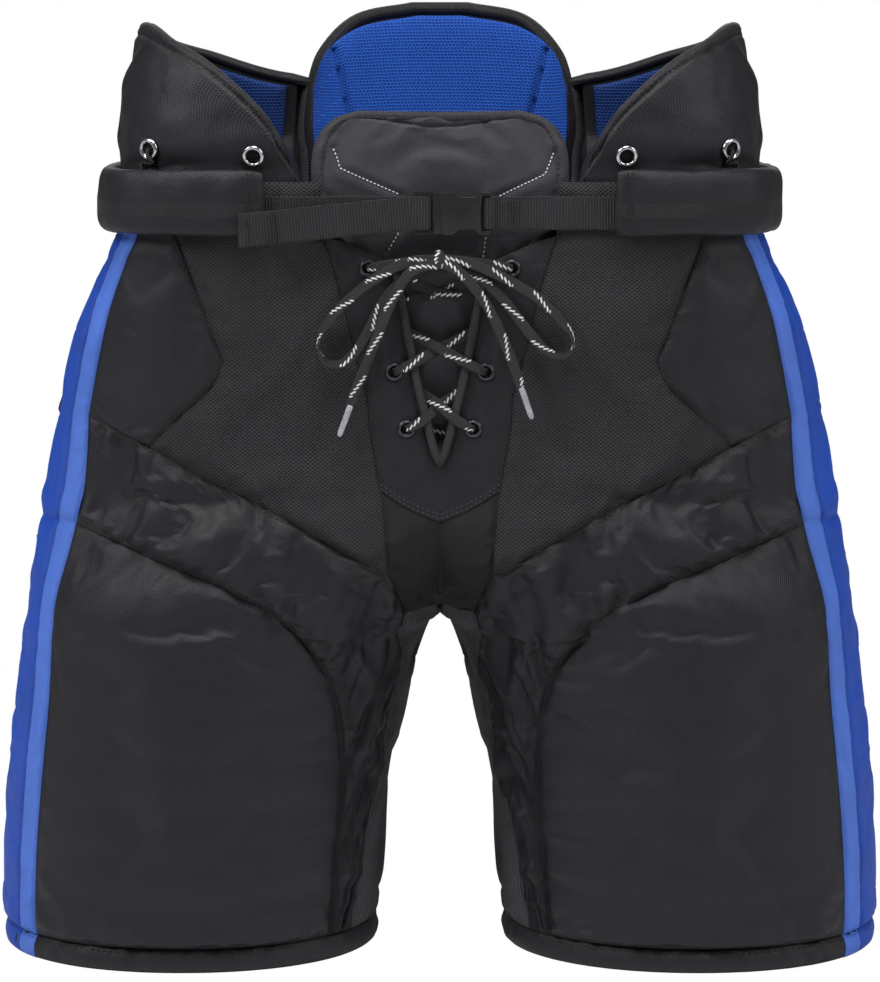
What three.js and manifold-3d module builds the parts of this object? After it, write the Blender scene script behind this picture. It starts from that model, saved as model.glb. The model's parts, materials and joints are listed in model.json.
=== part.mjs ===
import * as THREE from "three";
import { mergeVertices } from "three/addons/utils/BufferGeometryUtils.js";
import Module from "manifold-3d";

const wasm = await Module();
wasm.setup();

// Overall sizes in millimetres. Up is +Z, the front faces -Y, x > 0 is the right side seen from the front.
const hem_half_width = 307;
const waist_half_width = 218.5;
const crotch_height = 236;
const belt_bottom = 503;
const belt_height = 43;
const leg_gap_half = 46;
const front_depth = 109;
const back_depth = 114;

// Layers and clearances.
const fabric = 3.2;
const seam_gap = 0.3;
const layer_gap = 0.3;
const curve_gap = 0.9;
const hem_height = 17;
const hem_thickness = 13;
const guard_thickness = 3;
const kidney_thickness = 11;
const lining_thickness = 2.4;
const spine_thickness = 11;
const belly_thickness = 7;
const tailbone_thickness = 8;
const belt_thickness = 12;

// Upper pads.
const kidney_tip_height = 638;
const spine_top_height = 654;
const spine_half_width = 97;
const belly_top_height = 583;
const belly_half_width = 85;
const tongue_half_width = 30;

// Webbing and side-release buckle.
const webbing_width = 22;
const webbing_thickness = 1.8;
const sleeve_end_x = 116;
const strap_y = -111.2;
const strap_z = 518;
const buckle_rail = 3;
const buckle_width = webbing_width + 2 * buckle_rail;
const buckle_thickness = 10.5;
const male_length = 17;
const release_travel = 28;
const prong_length = 21;
const tail_end_x = -130;

// Eyelets, grommets and lace.
const eyelet_radius = 5.6;
const eyelet_hole = 3.4;
const eyelet_collar = 0.8;
const grommet_radius = 7.6;
const grommet_hole = 4.4;
const grommet_lift = 2;
const lace_width = 3;
const aglet_width = 3.6;
const aglet_length = 19;

const waist = 2;
const fork_top = 1.35;
const shell_top = waist + (belt_height - 8) / (belt_bottom - crotch_height);

const colours = {
  twill: 0x26252a, dark: 0x131316, mesh: 0x1c1b20, light_blue: 0x4a78cf, dark_blue: 0x17489f,
  lining: 0x1b54b9, deep_lining: 0x10397a, webbing: 0x242328, buckle: 0x202024, nickel: 0xc9c9cd,
  foam: 0x3c4046, plastic: 0x5b6067, binding: 0x1d1c21,
};

const group = new THREE.Group();
group.name = "hockey_pants";

function add(name, geometry, colour, roughness, metalness = 0) {
  const material = new THREE.MeshStandardMaterial({ color: colour, roughness, metalness });
  material.name = name;
  const mesh = new THREE.Mesh(geometry, material);
  mesh.name = name;
  group.add(mesh);
  return mesh;
}

function level(f) {
  const upper = crotch_height + (f - 1) * (belt_bottom - crotch_height);
  return f <= 1 ? f * crotch_height : upper;
}

function fraction(z) {
  const upper = 1 + (z - crotch_height) / (belt_bottom - crotch_height);
  return z <= crotch_height ? z / crotch_height : upper;
}

// A smooth curve through stations [at, value].
function through(stations) {
  const last = stations.length - 1;
  const slope = stations.map((_, i) => {
    if (i === 0 || i === last) return 0;
    const [a, b] = [stations[i - 1], stations[i + 1]];
    const [left, right] = [stations[i][1] - a[1], b[1] - stations[i][1]];
    return left * right <= 0 ? 0 : (b[1] - a[1]) / (b[0] - a[0]);
  });
  return (at) => {
    if (at <= stations[0][0]) return stations[0][1];
    if (at >= stations[last][0]) return stations[last][1];
    const i = stations.findIndex((s) => s[0] > at) - 1;
    const h = stations[i + 1][0] - stations[i][0];
    const s = (at - stations[i][0]) / h;
    const a = (1 + 2 * s) * (1 - s) ** 2 * stations[i][1];
    const b = s * s * (3 - 2 * s) * stations[i + 1][1];
    return a + b + h * s * (1 - s) ** 2 * slope[i] - h * s * s * (1 - s) * slope[i + 1];
  };
}

// Cross-sections of one leg, given at heights 0 = hem, 1 = crotch, 2 = belt bottom.
const flare = through([[0, 0.99], [0.12, 1.02], [0.5, 0.97], [1, 0.8], [1.3, 0.655], [1.5, 0.53],
  [1.75, 0.34], [1.94, 0.08], [2, 0], [2.3, 0]]);
const inner_edge = through([[0, 1], [0.15, 0.98], [0.43, 0.85], [0.7, 0.59], [0.9, 0.36], [0.97, 0.22],
  [1, 0.004]]);
const front_shape = through([[0, 0.955], [0.4, 0.99], [1, 1.01], [1.5, 1], [2, 0.995], [2.3, 0.995]]);
const back_shape = through([[0, 0.915], [0.4, 0.965], [1, 1.02], [1.4, 1.035], [1.8, 0.99], [2, 0.955],
  [2.3, 0.955]]);
const squareness = through([[0, 2.1], [1, 2.15], [1.5, 2.4], [2, 4.2], [2.3, 4.2]]);

function ring(f, back) {
  const outer = waist_half_width + (hem_half_width - waist_half_width) * flare(f);
  const depth = back ? back_depth * back_shape(f) : front_depth * front_shape(f);
  const n = squareness(f);
  if (f <= 1) {
    const inner = leg_gap_half * inner_edge(f);
    const centre = (outer + inner) / 2;
    return { centre, a: outer - centre, w: centre - inner, depth, n };
  }
  if (f >= fork_top) return { centre: 0, a: outer, w: 1e-6, depth, n };
  const s = (f - 1) / (fork_top - 1);
  const start = (waist_half_width + (hem_half_width - waist_half_width) * flare(1)) / 2;
  const centre = start * (1 - s * s * (3 - 2 * s));
  const chord = Math.sqrt(Math.max(0, 1 - (1 - s) ** 2));
  const w = centre / Math.max(1e-6, 1 - chord ** n) ** (1 / n);
  return { centre, a: outer - centre, w, depth, n };
}

// Point of the right leg at turn t (degrees: 0 outer side, 90 front, 180 inner side, 270 back).
function spot(t, f) {
  const turn = ((t % 360) + 360) % 360;
  const back = turn > 180;
  const r = ring(f, back);
  const angle = turn * Math.PI / 180;
  const [c, s] = [Math.cos(angle), Math.abs(Math.sin(angle))];
  const reach = (Math.abs(c) ** r.n + s ** r.n) ** (-1 / r.n);
  const x = r.centre + (c >= 0 ? r.a : r.w) * reach * c;
  const y = r.depth * reach * s * (back ? 1 : -1);
  return new THREE.Vector3(Math.max(x, seam_gap / 2 + 0.1), y, level(f));
}

// Point of the whole garment at a share q of the local half width.
function across(q, f, back) {
  const r = ring(f, back);
  const x = Math.abs(q) * (r.centre + r.a);
  const share = x >= r.centre ? (x - r.centre) / r.a : (r.centre - x) / r.w;
  const y = r.depth * Math.max(0, 1 - Math.min(1, share) ** r.n) ** (1 / r.n);
  return new THREE.Vector3(Math.sign(q) * x, back ? y : -y, level(f));
}

function half_width(f) {
  const r = ring(f, false);
  return r.centre + r.a;
}

function turn_of(x, f, back = false) {
  const r = ring(f, back);
  const p = across(x / (r.centre + r.a), f, back);
  const share = x >= r.centre ? (x - r.centre) / r.a : (x - r.centre) / r.w;
  const turn = Math.atan2(Math.abs(p.y) / r.depth, share) * 180 / Math.PI;
  return back ? 360 - turn : turn;
}

// Outward unit normals by small steps on either kind of surface.
function normal_at(surface, u, f, step) {
  const du = surface(u + step, f).sub(surface(u - step, f));
  const df = surface(u, f + 0.002).sub(surface(u, f - 0.002));
  const n = du.cross(df).normalize();
  return n;
}

function front_surface(q, f) {
  return across(q, f, false);
}

function back_surface(q, f) {
  return across(q, f, true);
}

// A run of evenly spaced places along a smooth line through stations [place, height].
function run(stations, count) {
  const at = stations.map((_, i) => i);
  const [place, height] = [0, 1].map((k) => {
    const last = stations.length - 1;
    const slope = stations.map((s, i) => {
      const [p, q] = [stations[Math.max(0, i - 1)], stations[Math.min(last, i + 1)]];
      return (q[k] - p[k]) / (Math.min(last, i + 1) - Math.max(0, i - 1));
    });
    return (t) => {
      const i = Math.min(last - 1, Math.floor(t));
      const s = t - i;
      const [p, q] = [stations[i][k], stations[i + 1][k]];
      const bend = s * (1 - s) ** 2 * slope[i] - s * s * (1 - s) * slope[i + 1];
      return (1 + 2 * s) * (1 - s) ** 2 * p + s * s * (3 - 2 * s) * q + bend;
    };
  });
  const out = [];
  for (let i = 0; i <= count; i += 1) {
    const t = i / count * (at.length - 1);
    out.push([place(t), height(t)]);
  }
  return out;
}

// Several runs end to end.
function join(...runs) {
  return runs.flatMap((line, i) => (i === 0 ? line : line.slice(1)));
}

// Closed solid from an outer and an inner grid of points.
function grid_solid(outer, inner) {
  const rows = outer.length;
  const cols = outer[0].length;
  const positions = [];
  for (const grid of [outer, inner]) {
    for (const row of grid) for (const p of row) positions.push(p.x, p.y, p.z);
  }
  const at = (side, j, i) => side * rows * cols + j * cols + i;
  const index = [];
  const quad = (a, b, c, d) => index.push(a, b, c, a, c, d);
  for (let j = 0; j < rows - 1; j += 1) {
    for (let i = 0; i < cols - 1; i += 1) {
      quad(at(0, j, i), at(0, j, i + 1), at(0, j + 1, i + 1), at(0, j + 1, i));
      quad(at(1, j, i), at(1, j + 1, i), at(1, j + 1, i + 1), at(1, j, i + 1));
    }
    quad(at(0, j, 0), at(0, j + 1, 0), at(1, j + 1, 0), at(1, j, 0));
    quad(at(0, j, cols - 1), at(1, j, cols - 1), at(1, j + 1, cols - 1), at(0, j + 1, cols - 1));
  }
  for (let i = 0; i < cols - 1; i += 1) {
    quad(at(0, 0, i), at(1, 0, i), at(1, 0, i + 1), at(0, 0, i + 1));
    quad(at(0, rows - 1, i), at(0, rows - 1, i + 1), at(1, rows - 1, i + 1), at(1, rows - 1, i));
  }
  const geometry = new THREE.BufferGeometry();
  geometry.setAttribute("position", new THREE.Float32BufferAttribute(positions, 3));
  geometry.setIndex(index);
  return outward(geometry);
}

function volume(geometry) {
  const p = geometry.attributes.position;
  const index = geometry.index.array;
  let sum = 0;
  for (let i = 0; i < index.length; i += 3) {
    const [a, b, c] = [0, 1, 2].map((k) => new THREE.Vector3().fromBufferAttribute(p, index[i + k]));
    sum += a.dot(b.cross(c));
  }
  return sum / 6;
}

function outward(geometry) {
  if (volume(geometry) < 0) {
    const index = geometry.index.array;
    for (let i = 0; i < index.length; i += 3) [index[i], index[i + 1]] = [index[i + 1], index[i]];
  }
  return geometry;
}

// Pull an edge vertex into its panel, square to the seam.
function pulled(grid, j, i, amount) {
  const rows = grid.length;
  const cols = grid[0].length;
  const here = grid[j][i];
  const move = new THREE.Vector3();
  const side = (edge, inward, before, after) => {
    if (!edge) return;
    const along = grid[after[0]][after[1]].clone().sub(grid[before[0]][before[1]]).normalize();
    const into = grid[inward[0]][inward[1]].clone().sub(here);
    into.addScaledVector(along, -into.dot(along)).normalize();
    move.addScaledVector(into, amount);
  };
  const [ju, jd] = [Math.min(rows - 1, j + 1), Math.max(0, j - 1)];
  const [iu, id] = [Math.min(cols - 1, i + 1), Math.max(0, i - 1)];
  side(i === 0, [j, 1], [jd, i], [ju, i]);
  side(i === cols - 1, [j, cols - 2], [jd, i], [ju, i]);
  side(j === 0, [1, i], [j, id], [j, iu]);
  side(j === rows - 1, [rows - 2, i], [j, id], [j, iu]);
  return here.clone().add(move);
}

// A fabric panel between four seam lines, from an outer to an inner offset; a lift puffs its middle.
function panel(surface, edges, out, into, puff = 0, step = 1.5) {
  const { bottom, top, left, right } = edges;
  const [nu, nv] = [bottom.length - 1, left.length - 1];
  const grid = [];
  const facing = [];
  for (let j = 0; j <= nv; j += 1) {
    const v = j / nv;
    const row = [];
    const row_facing = [];
    for (let i = 0; i <= nu; i += 1) {
      const u = i / nu;
      const [at, f] = [0, 1].map((k) => (1 - v) * bottom[i][k] + v * top[i][k]
        + (1 - u) * (left[j][k] - (1 - v) * bottom[0][k] - v * top[0][k])
        + u * (right[j][k] - (1 - v) * bottom[nu][k] - v * top[nu][k]));
      const p = surface(at, f);
      const n = normal_at(surface, at, f, step);
      const middle = surface === spot ? ring(f, false).centre : 0;
      const hint = new THREE.Vector3((p.x - middle) * 0.4, p.y, 0);
      row.push(p);
      row_facing.push(n.dot(hint) < 0 ? n.negate() : n);
    }
    grid.push(row);
    facing.push(row_facing);
  }
  const trimmed = grid.map((row, j) => row.map((_, i) => pulled(grid, j, i, seam_gap)));
  const amount = (value, f) => (typeof value === "function" ? value(f) : value);
  const tucked = surface === belt_surface ? () => 1 : through([[1.88, 1], [1.97, 0]]);
  const face = (offset, lift) => trimmed.map((row, j) => row.map((p, i) => {
    const rim = Math.min(i, nu - i, j, nv - j);
    const f = fraction(p.z);
    const raised = amount(offset, f) + (rim === 0 ? 0 : lift * tucked(f));
    return p.clone().addScaledVector(facing[j][i], raised);
  }));
  return grid_solid(face(out, puff), face(into, 0));
}

function belt_surface(t, f) {
  return spot(t, f);
}

function mirrored(geometry) {
  const copy = geometry.clone();
  copy.applyMatrix4(new THREE.Matrix4().makeScale(-1, 1, 1));
  return outward(copy);
}

function pair(name, geometry, colour, roughness) {
  add(`${name}_right`, geometry, colour, roughness);
  add(`${name}_left`, mirrored(geometry), colour, roughness);
}

// Seam lines of the right side: [x, height] on the front or [turn, height] round the leg.
const as_turn = (line) => line.map(([x, f]) => [turn_of(x, f), f]);
const as_share = (line) => line.map(([x, f]) => [x / half_width(f), f]);
const other_side = (line) => line.map(([q, f]) => [-q, f]);
const reversed = (line) => line.slice().reverse();
const straight = (a, b, count) => run([a, b], count);
const x_at = (t, f) => spot(t, f).x;

const hem_top = hem_height / crotch_height;
const crotch_line = 1.03;
const stripe_low = 1.253;
const thigh_corner_inset = 30.125;
const hip_point_inset = 21.896;
const hip_corner_inset = 43.896;
const stripe_high = 1.53;
const leg_steps = 14;
const band_steps = 5;
const seat_steps = 10;
const hip_steps = 15;
const stripe_back_turn = -1;
const stripe_front_turn = 39;
const stripe_middle_turn = 29.2;
const stripe_front_top = 37.8;
const stripe_middle_top = 29;
const stripe_bend = 29.8;
const strip_front_turn = 151;
const strip_back_turn = 210;

const low_edge = x_at(stripe_bend, stripe_low);
const high_edge = x_at(30.2, stripe_high);
const hip_corner = [high_edge - hip_corner_inset, 1.46];
const hip_seam = join(
  run([hip_corner, [180.6, 1.522], [153, 1.619], [144, 1.685]], 6),
  run([[144, 1.685], [152.4, 1.765], [160, 1.849], [175, 2]], 6),
  straight([175, 2], [177, shell_top], 3),
);
const yoke_outer = run([[high_edge, stripe_high], [high_edge - hip_point_inset, 1.496], hip_corner], 2);
const yoke_seam = run([hip_corner, [160, 1.39], [120, 1.321], [73.4, 1.226], [34.4, 1.144]], 8);
const gusset_low = straight([34.4, 1.144], [21.9, crotch_line], 2);
const gusset_side = run([[34.4, 1.144], [37, 1.25], [39.5, 1.363]], 5);
const fly_seam = run([[39.5, 1.363], [43, 1.44], [46.7, 1.518], [48.4, 1.602], [55.8, 1.704], [66.3, 1.868],
  [76.6, 2]], 8);
const fly_rise = straight([76.6, 2], [78, shell_top], 2);
const gusset_top = run([[0, 1.285], [20, 1.317], [39.5, 1.363]], 5);
const thigh_top = run([[low_edge, stripe_low], [low_edge - thigh_corner_inset, 1.217], [179.8, 1.164],
  [151, 1.126], [134, 1.093], [111.5, 1.05], [93, 0.977]], 12);
const thigh_inner = run([[93, 0.977], [78.8, 0.882], [70.5, 0.779], [67.2, 0.642], [66.7, 0.51],
  [69.8, 0.383], [74.6, 0.149], [76.5, hem_top]], leg_steps);
const crotch_turn = turn_of(21.9, crotch_line);
const inner_seam = run([[crotch_turn, crotch_line], [158, 0.89], [159, 0.77], [160, 0.65], [162, 0.5],
  [157, 0.34], [152.5, 0.15], [strip_front_turn, hem_top]], leg_steps);
const stripe_front = join(
  run([[stripe_front_turn, hem_top], [stripe_front_turn, 0.2], [39.3, 0.58], [37.7, 0.864],
    [stripe_bend, stripe_low]], leg_steps),
  straight([stripe_bend, stripe_low], [30.2, stripe_high], band_steps),
  run([[30.2, stripe_high], [36.7, 1.743], [stripe_front_top, 1.985], [stripe_front_top, shell_top]],
    hip_steps),
);
const stripe_middle = join(
  run([[stripe_middle_turn, hem_top], [stripe_middle_turn, 0.2], [29.6, 0.57], [28.7, 0.85],
    [21.8, stripe_low]], leg_steps),
  straight([21.8, stripe_low], [22.5, stripe_high], band_steps),
  run([[22.5, stripe_high], [29.5, 1.743], [stripe_middle_top, 1.985], [stripe_middle_top, shell_top]],
    hip_steps),
);
const stripe_back = stripe_middle.map(([, f]) => [stripe_back_turn, f]);
const seat_seam = run([[360 + stripe_back_turn, 1.16], [330, 1.145], [300, 1.12], [270, 1.085], [240, 1.05],
  [strip_back_turn, crotch_line]], seat_steps);
const slit_foot = 1.42;
const slit_inner = [[0, 1.447], [2.2, 1.475], [6.6, 1.54], [13.2, 1.642], [21.1, 1.794], [24.6, 1.87],
  [26.8, 1.924]];
const slit_outer = [[0, slit_foot], [5.6, 1.46], [11, 1.54], [17.6, 1.642], [25.5, 1.794], [29, 1.87],
  [31, 1.93]];

// Legs: thigh panel, the yoke that turns down the inner leg, side stripes, inner strip and back.
const thigh_corner = turn_of(76.5, hem_top);
pair("thigh_panel", panel(spot, {
  left: stripe_front.slice(0, leg_steps + 1), right: reversed(as_turn(thigh_inner)),
  bottom: straight([stripe_front_turn, hem_top], [thigh_corner, hem_top], 12), top: as_turn(thigh_top),
}, 0, -fabric, 3.5), colours.twill, 0.8);

pair("thigh_yoke", panel(spot, {
  left: stripe_front.slice(leg_steps, leg_steps + band_steps + 1),
  right: straight([thigh_corner, hem_top], [strip_front_turn, hem_top], band_steps),
  bottom: as_turn(join(thigh_top, thigh_inner)),
  top: join(as_turn(join(yoke_outer, yoke_seam, gusset_low)), inner_seam),
}, 0, -fabric, 1.5), colours.twill, 0.8);

pair("stripe_light", panel(spot, {
  left: stripe_middle, right: stripe_front,
  bottom: straight([stripe_middle_turn, hem_top], [stripe_front_turn, hem_top], 2),
  top: straight([stripe_middle_top, shell_top], [stripe_front_top, shell_top], 2),
}, 0, -fabric), colours.light_blue, 0.6);

pair("stripe_dark", panel(spot, {
  left: stripe_back, right: stripe_middle,
  bottom: straight([stripe_back_turn, hem_top], [stripe_middle_turn, hem_top], 5),
  top: straight([stripe_back_turn, shell_top], [stripe_middle_top, shell_top], 5),
}, 0, -fabric), colours.dark_blue, 0.6);

const strip_back = straight([strip_back_turn, hem_top], [strip_back_turn, crotch_line], leg_steps);
pair("inner_leg_strip", panel(spot, {
  left: reversed(inner_seam), right: strip_back,
  bottom: straight([strip_front_turn, hem_top], [strip_back_turn, hem_top], 6),
  top: straight([crotch_turn, crotch_line], [strip_back_turn, crotch_line], 6),
}, 0, -fabric), colours.webbing, 0.85);

pair("back_thigh", panel(spot, {
  left: strip_back,
  right: straight([360 + stripe_back_turn, hem_top], [360 + stripe_back_turn, 1.16], leg_steps),
  bottom: straight([strip_back_turn, hem_top], [360 + stripe_back_turn, hem_top], seat_steps),
  top: reversed(seat_seam),
}, 0, -fabric, 2.5), colours.twill, 0.8);

// The seat spans both sides; its places are angles whose cosine is the share of the half width.
const seat_surface = (angle, f) => across(Math.cos(angle), f, true);
const seat_place = ([t, f]) => [Math.acos(Math.min(1, x_at(t, f) / half_width(f))), f];
const other_half = (line) => line.map(([angle, f]) => [Math.PI - angle, f]);
const seat_low = join(seat_seam.map(seat_place),
  straight(seat_place([strip_back_turn, crotch_line]), [Math.PI / 2, crotch_line], 2));
const seat_side = join(straight([0, 1.16], [0, 1.93], 9), straight([0, 1.93], [0, waist], 2),
  straight([0, waist], [0, shell_top], 2)).map(([, f]) => seat_place([stripe_back_turn, f]));
const seat_corner = seat_side[seat_side.length - 1];
const seat_bottom = join(seat_low, reversed(other_half(seat_low)));
add("seat_panel", panel(seat_surface, {
  left: seat_side, right: other_half(seat_side), bottom: seat_bottom,
  top: straight(seat_corner, [Math.PI - seat_corner[0], shell_top], seat_bottom.length - 1),
}, 0, -fabric, 1.5, 0.01), colours.twill, 0.8);

// Front above the legs.
pair("hip_panel", panel(spot, {
  left: as_turn(hip_seam), right: stripe_front.slice(leg_steps + band_steps),
  bottom: as_turn(reversed(yoke_outer)),
  top: straight([turn_of(177, shell_top), shell_top], [stripe_front_top, shell_top], 2),
}, 0, -fabric, 2.5), colours.twill, 0.8);

const mesh_top = straight([78, shell_top], [177, shell_top], 8);
pair("mesh_panel", panel(front_surface, {
  left: as_share(join(gusset_side, fly_seam, fly_rise)), right: as_share(hip_seam),
  bottom: as_share(reversed(yoke_seam)), top: as_share(mesh_top),
}, 0, -fabric, 0, 0.01), colours.mesh, 0.9);

const gusset_edge = as_share(join(reversed(gusset_low), gusset_side));
add("crotch_gusset", panel(front_surface, {
  left: other_side(gusset_edge), right: gusset_edge,
  bottom: as_share(straight([-21.9, crotch_line], [21.9, crotch_line], 10)),
  top: join(reversed(other_side(as_share(gusset_top))), as_share(gusset_top)),
}, 0, -fabric, 0, 0.01), colours.dark, 0.6);

const slit_side = as_share(slit_outer);
const slit_hem = as_share(slit_inner);
add("fly_slit_binding", panel(front_surface, {
  left: straight(other_side([slit_side[6]])[0], other_side([slit_hem[6]])[0], 1),
  right: straight(slit_side[6], slit_hem[6], 1),
  bottom: join(reversed(other_side(slit_side)), slit_side),
  top: join(reversed(other_side(slit_hem)), slit_hem),
}, 0.8, -fabric, 0, 0.01), colours.binding, 0.7);

const to_solid = (geometry) => {
  const bare = geometry.clone();
  bare.deleteAttribute("normal");
  bare.deleteAttribute("uv");
  const merged = mergeVertices(bare, 1e-4);
  return new wasm.Manifold(new wasm.Mesh({
    numProp: 3,
    vertProperties: merged.attributes.position.array,
    triVerts: new Uint32Array(merged.index.array),
  }));
};

const to_geometry = (solid) => {
  const mesh = solid.getMesh();
  const geometry = new THREE.BufferGeometry();
  geometry.setAttribute("position", new THREE.Float32BufferAttribute(mesh.vertProperties, 3));
  geometry.setIndex(Array.from(mesh.triVerts));
  geometry.computeVertexNormals();
  return geometry;
};

function block(x0, x1, y0, y1, z0, z1) {
  const geometry = new THREE.BoxGeometry(x1 - x0, y1 - y0, z1 - z0);
  geometry.translate((x0 + x1) / 2, (y0 + y1) / 2, (z0 + z1) / 2);
  return geometry;
}

// Turn a piece made round +Y so that +Y follows a normal, and move it to a place.
function stood(geometry, place, normal) {
  const turn = new THREE.Quaternion().setFromUnitVectors(new THREE.Vector3(0, 1, 0), normal);
  geometry.applyMatrix4(new THREE.Matrix4().makeRotationFromQuaternion(turn));
  geometry.translate(place.x, place.y, place.z);
  return geometry;
}

// Metal ring with a flange on each face of a layer from height low to height high.
function ring_piece(hole, radius, low, high, segments) {
  const barrel = hole + 0.6;
  const [rise, fall] = [low + eyelet_collar, high - eyelet_collar];
  const profile = [[hole, high], [hole, low], [radius, low], [radius, rise], [barrel, rise], [barrel, fall],
    [radius, fall], [radius, high], [hole, high]];
  return new THREE.LatheGeometry(profile.map(([r, h]) => new THREE.Vector2(r, h)), segments);
}

function place_on(surface, at, f, step) {
  const p = surface(at, f);
  const n = normal_at(surface, at, f, step);
  const hint = new THREE.Vector3(p.x * 0.4, p.y, 0);
  return { p, n: n.dot(hint) < 0 ? n.negate() : n };
}

// Fly halves with their eyelets.
const fly_inner = join([[0, 1.285], [0, 1.35], [0, slit_foot]], slit_outer);
const fly_front = panel(front_surface, {
  left: as_share(fly_inner), right: as_share(fly_seam),
  bottom: as_share(gusset_top), top: as_share(run([[31, 1.93], [47, 1.957], [63.8, 1.985], [76.6, 2]], 5)),
}, 0, -fabric, 0, 0.01);
const eyelet_places = { low: [22.2, 375], middle: [30.5, 413], top: [47.5, 481.5] };
let fly_solid = to_solid(fly_front);
for (const [name, [x, z]] of Object.entries(eyelet_places)) {
  const f = fraction(z);
  const { p, n } = place_on(front_surface, x / half_width(f), f, 0.01);
  const clear = new THREE.CylinderGeometry(eyelet_hole + 0.9, eyelet_hole + 0.9, 20, 12);
  fly_solid = fly_solid.subtract(to_solid(stood(clear, p, n)));
  const metal = ring_piece(eyelet_hole, eyelet_radius, -fabric - layer_gap - eyelet_collar,
    layer_gap + eyelet_collar, 12);
  const eyelet = stood(metal, p, n);
  add(`eyelet_${name}_right`, outward(mergeVertices(eyelet, 1e-4)), colours.nickel, 0.3, 1);
  add(`eyelet_${name}_left`, mirrored(mergeVertices(eyelet, 1e-4)), colours.nickel, 0.3, 1);
}
pair("fly_panel", to_geometry(fly_solid), colours.twill, 0.8);

// Hem bands: one padded roll round each leg, flat underneath.
const hem_section = [[-3, 0], [0.8, 2.5], [1.6, 8], [0.6, 14], [-1.2, hem_height], [-9, hem_height],
  [-hem_thickness, 12], [-hem_thickness, 3], [-10, 0]];
const hem_rows = [];
const hem_segments = 36;
for (let k = 0; k < hem_segments; k += 1) {
  const t = k * 360 / hem_segments + 0.01;
  const about_leg = (at, f) => spot(at, f).sub(new THREE.Vector3(ring(f, false).centre, 0, 0));
  const { p, n } = place_on(about_leg, t, 0.04, 1.5);
  n.z = 0;
  n.normalize();
  const centre = ring(0.04, false).centre;
  hem_rows.push(hem_section.map(([offset, z]) => new THREE.Vector3(p.x + centre + n.x * offset,
    p.y + n.y * offset, z)));
}
function loop_solid(rows) {
  const positions = rows.flat().flatMap((p) => [p.x, p.y, p.z]);
  const [m, n] = [rows.length, rows[0].length];
  const index = [];
  for (let j = 0; j < m; j += 1) {
    for (let i = 0; i < n; i += 1) {
      const [a, b] = [j * n + i, j * n + (i + 1) % n];
      const [c, d] = [((j + 1) % m) * n + i, ((j + 1) % m) * n + (i + 1) % n];
      index.push(a, b, d, a, d, c);
    }
  }
  const geometry = new THREE.BufferGeometry();
  geometry.setAttribute("position", new THREE.Float32BufferAttribute(positions, 3));
  geometry.setIndex(index);
  return outward(geometry);
}
pair("hem_band", loop_solid(hem_rows), colours.twill, 0.8);

// Plastic thigh guards behind the thigh panels.
const inside = -fabric - curve_gap;
pair("thigh_guard", panel(spot, {
  left: straight([52, 0.16], [50, 0.96], 8), right: straight([128, 0.16], [104, 0.96], 8),
  bottom: straight([52, 0.16], [128, 0.16], 8), top: straight([50, 0.96], [104, 0.96], 8),
}, inside, inside - guard_thickness), colours.plastic, 0.45);

// Padded belt halves with a sleeve for the webbing; they meet at the back.
const belt_top = waist + belt_height / (belt_bottom - crotch_height);
const sleeve_turn = turn_of(sleeve_end_x, waist + 0.08);
const belt_start = -90;
const belt = panel(belt_surface, {
  left: straight([belt_start, waist], [belt_start, belt_top], 4),
  right: straight([sleeve_turn, waist], [sleeve_turn, belt_top], 4),
  bottom: straight([belt_start, waist], [sleeve_turn, waist], 26),
  top: straight([belt_start, belt_top], [sleeve_turn, belt_top], 26),
}, belt_thickness - 4, curve_gap, 4);
const pocket = (reach) => to_solid(block(sleeve_end_x - 12, reach,
  strap_y - webbing_thickness / 2 - layer_gap,
  strap_y + webbing_thickness / 2 + layer_gap, strap_z - webbing_width / 2 - layer_gap,
  strap_z + webbing_width / 2 + layer_gap));
const strap_start = sleeve_end_x + 8;
add("belt_right", to_geometry(to_solid(belt).subtract(pocket(strap_start + 2))), colours.twill, 0.8);
add("belt_left", mirrored(to_geometry(to_solid(belt).subtract(pocket(strap_start + release_travel + 2)))),
  colours.twill, 0.8);

// Flat webbing along a path seen from above.
function ribbon(path) {
  const points = path.map(([x, y]) => new THREE.Vector2(x, y));
  const side = (sign) => points.map((p, i) => {
    const a = points[Math.max(0, i - 1)];
    const b = points[Math.min(points.length - 1, i + 1)];
    const along = b.clone().sub(a).normalize();
    const reach = sign * webbing_thickness / 2;
    return new THREE.Vector2(p.x - along.y * reach, p.y + along.x * reach);
  });
  const outline = new THREE.Shape(side(1).concat(side(-1).reverse()));
  const geometry = new THREE.ExtrudeGeometry(outline, { depth: webbing_width, bevelEnabled: false });
  geometry.translate(0, 0, strap_z - webbing_width / 2);
  return geometry;
}

const left_path = [[-strap_start, strap_y], [-60, strap_y], [-27, strap_y], [-22, strap_y + 1.2],
  [-18, strap_y + 3.2], [-9, strap_y + 3.4], [-6.6, strap_y + 2.6], [-5.7, strap_y + 0.8],
  [-5.7, strap_y - 0.8], [-6.6, strap_y - 2.6],
  [-9, strap_y - 3.4], [-18, strap_y - 3.4], [-32, strap_y - 4], [-60, strap_y - 6.2], [-98, strap_y - 9.6],
  [-114, strap_y - 10.4], [tail_end_x, strap_y - 10.6]];
const left_strap = ribbon(left_path);
const strap_points = left_strap.attributes.position;
for (let i = 0; i < strap_points.count; i += 1) {
  const droop = strap_points.getY(i) < strap_y - 3 ? Math.max(0, -20 - strap_points.getX(i)) * 0.08 : 0;
  strap_points.setZ(i, strap_points.getZ(i) - droop);
}
add("strap_left", left_strap, colours.webbing, 0.85);
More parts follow.
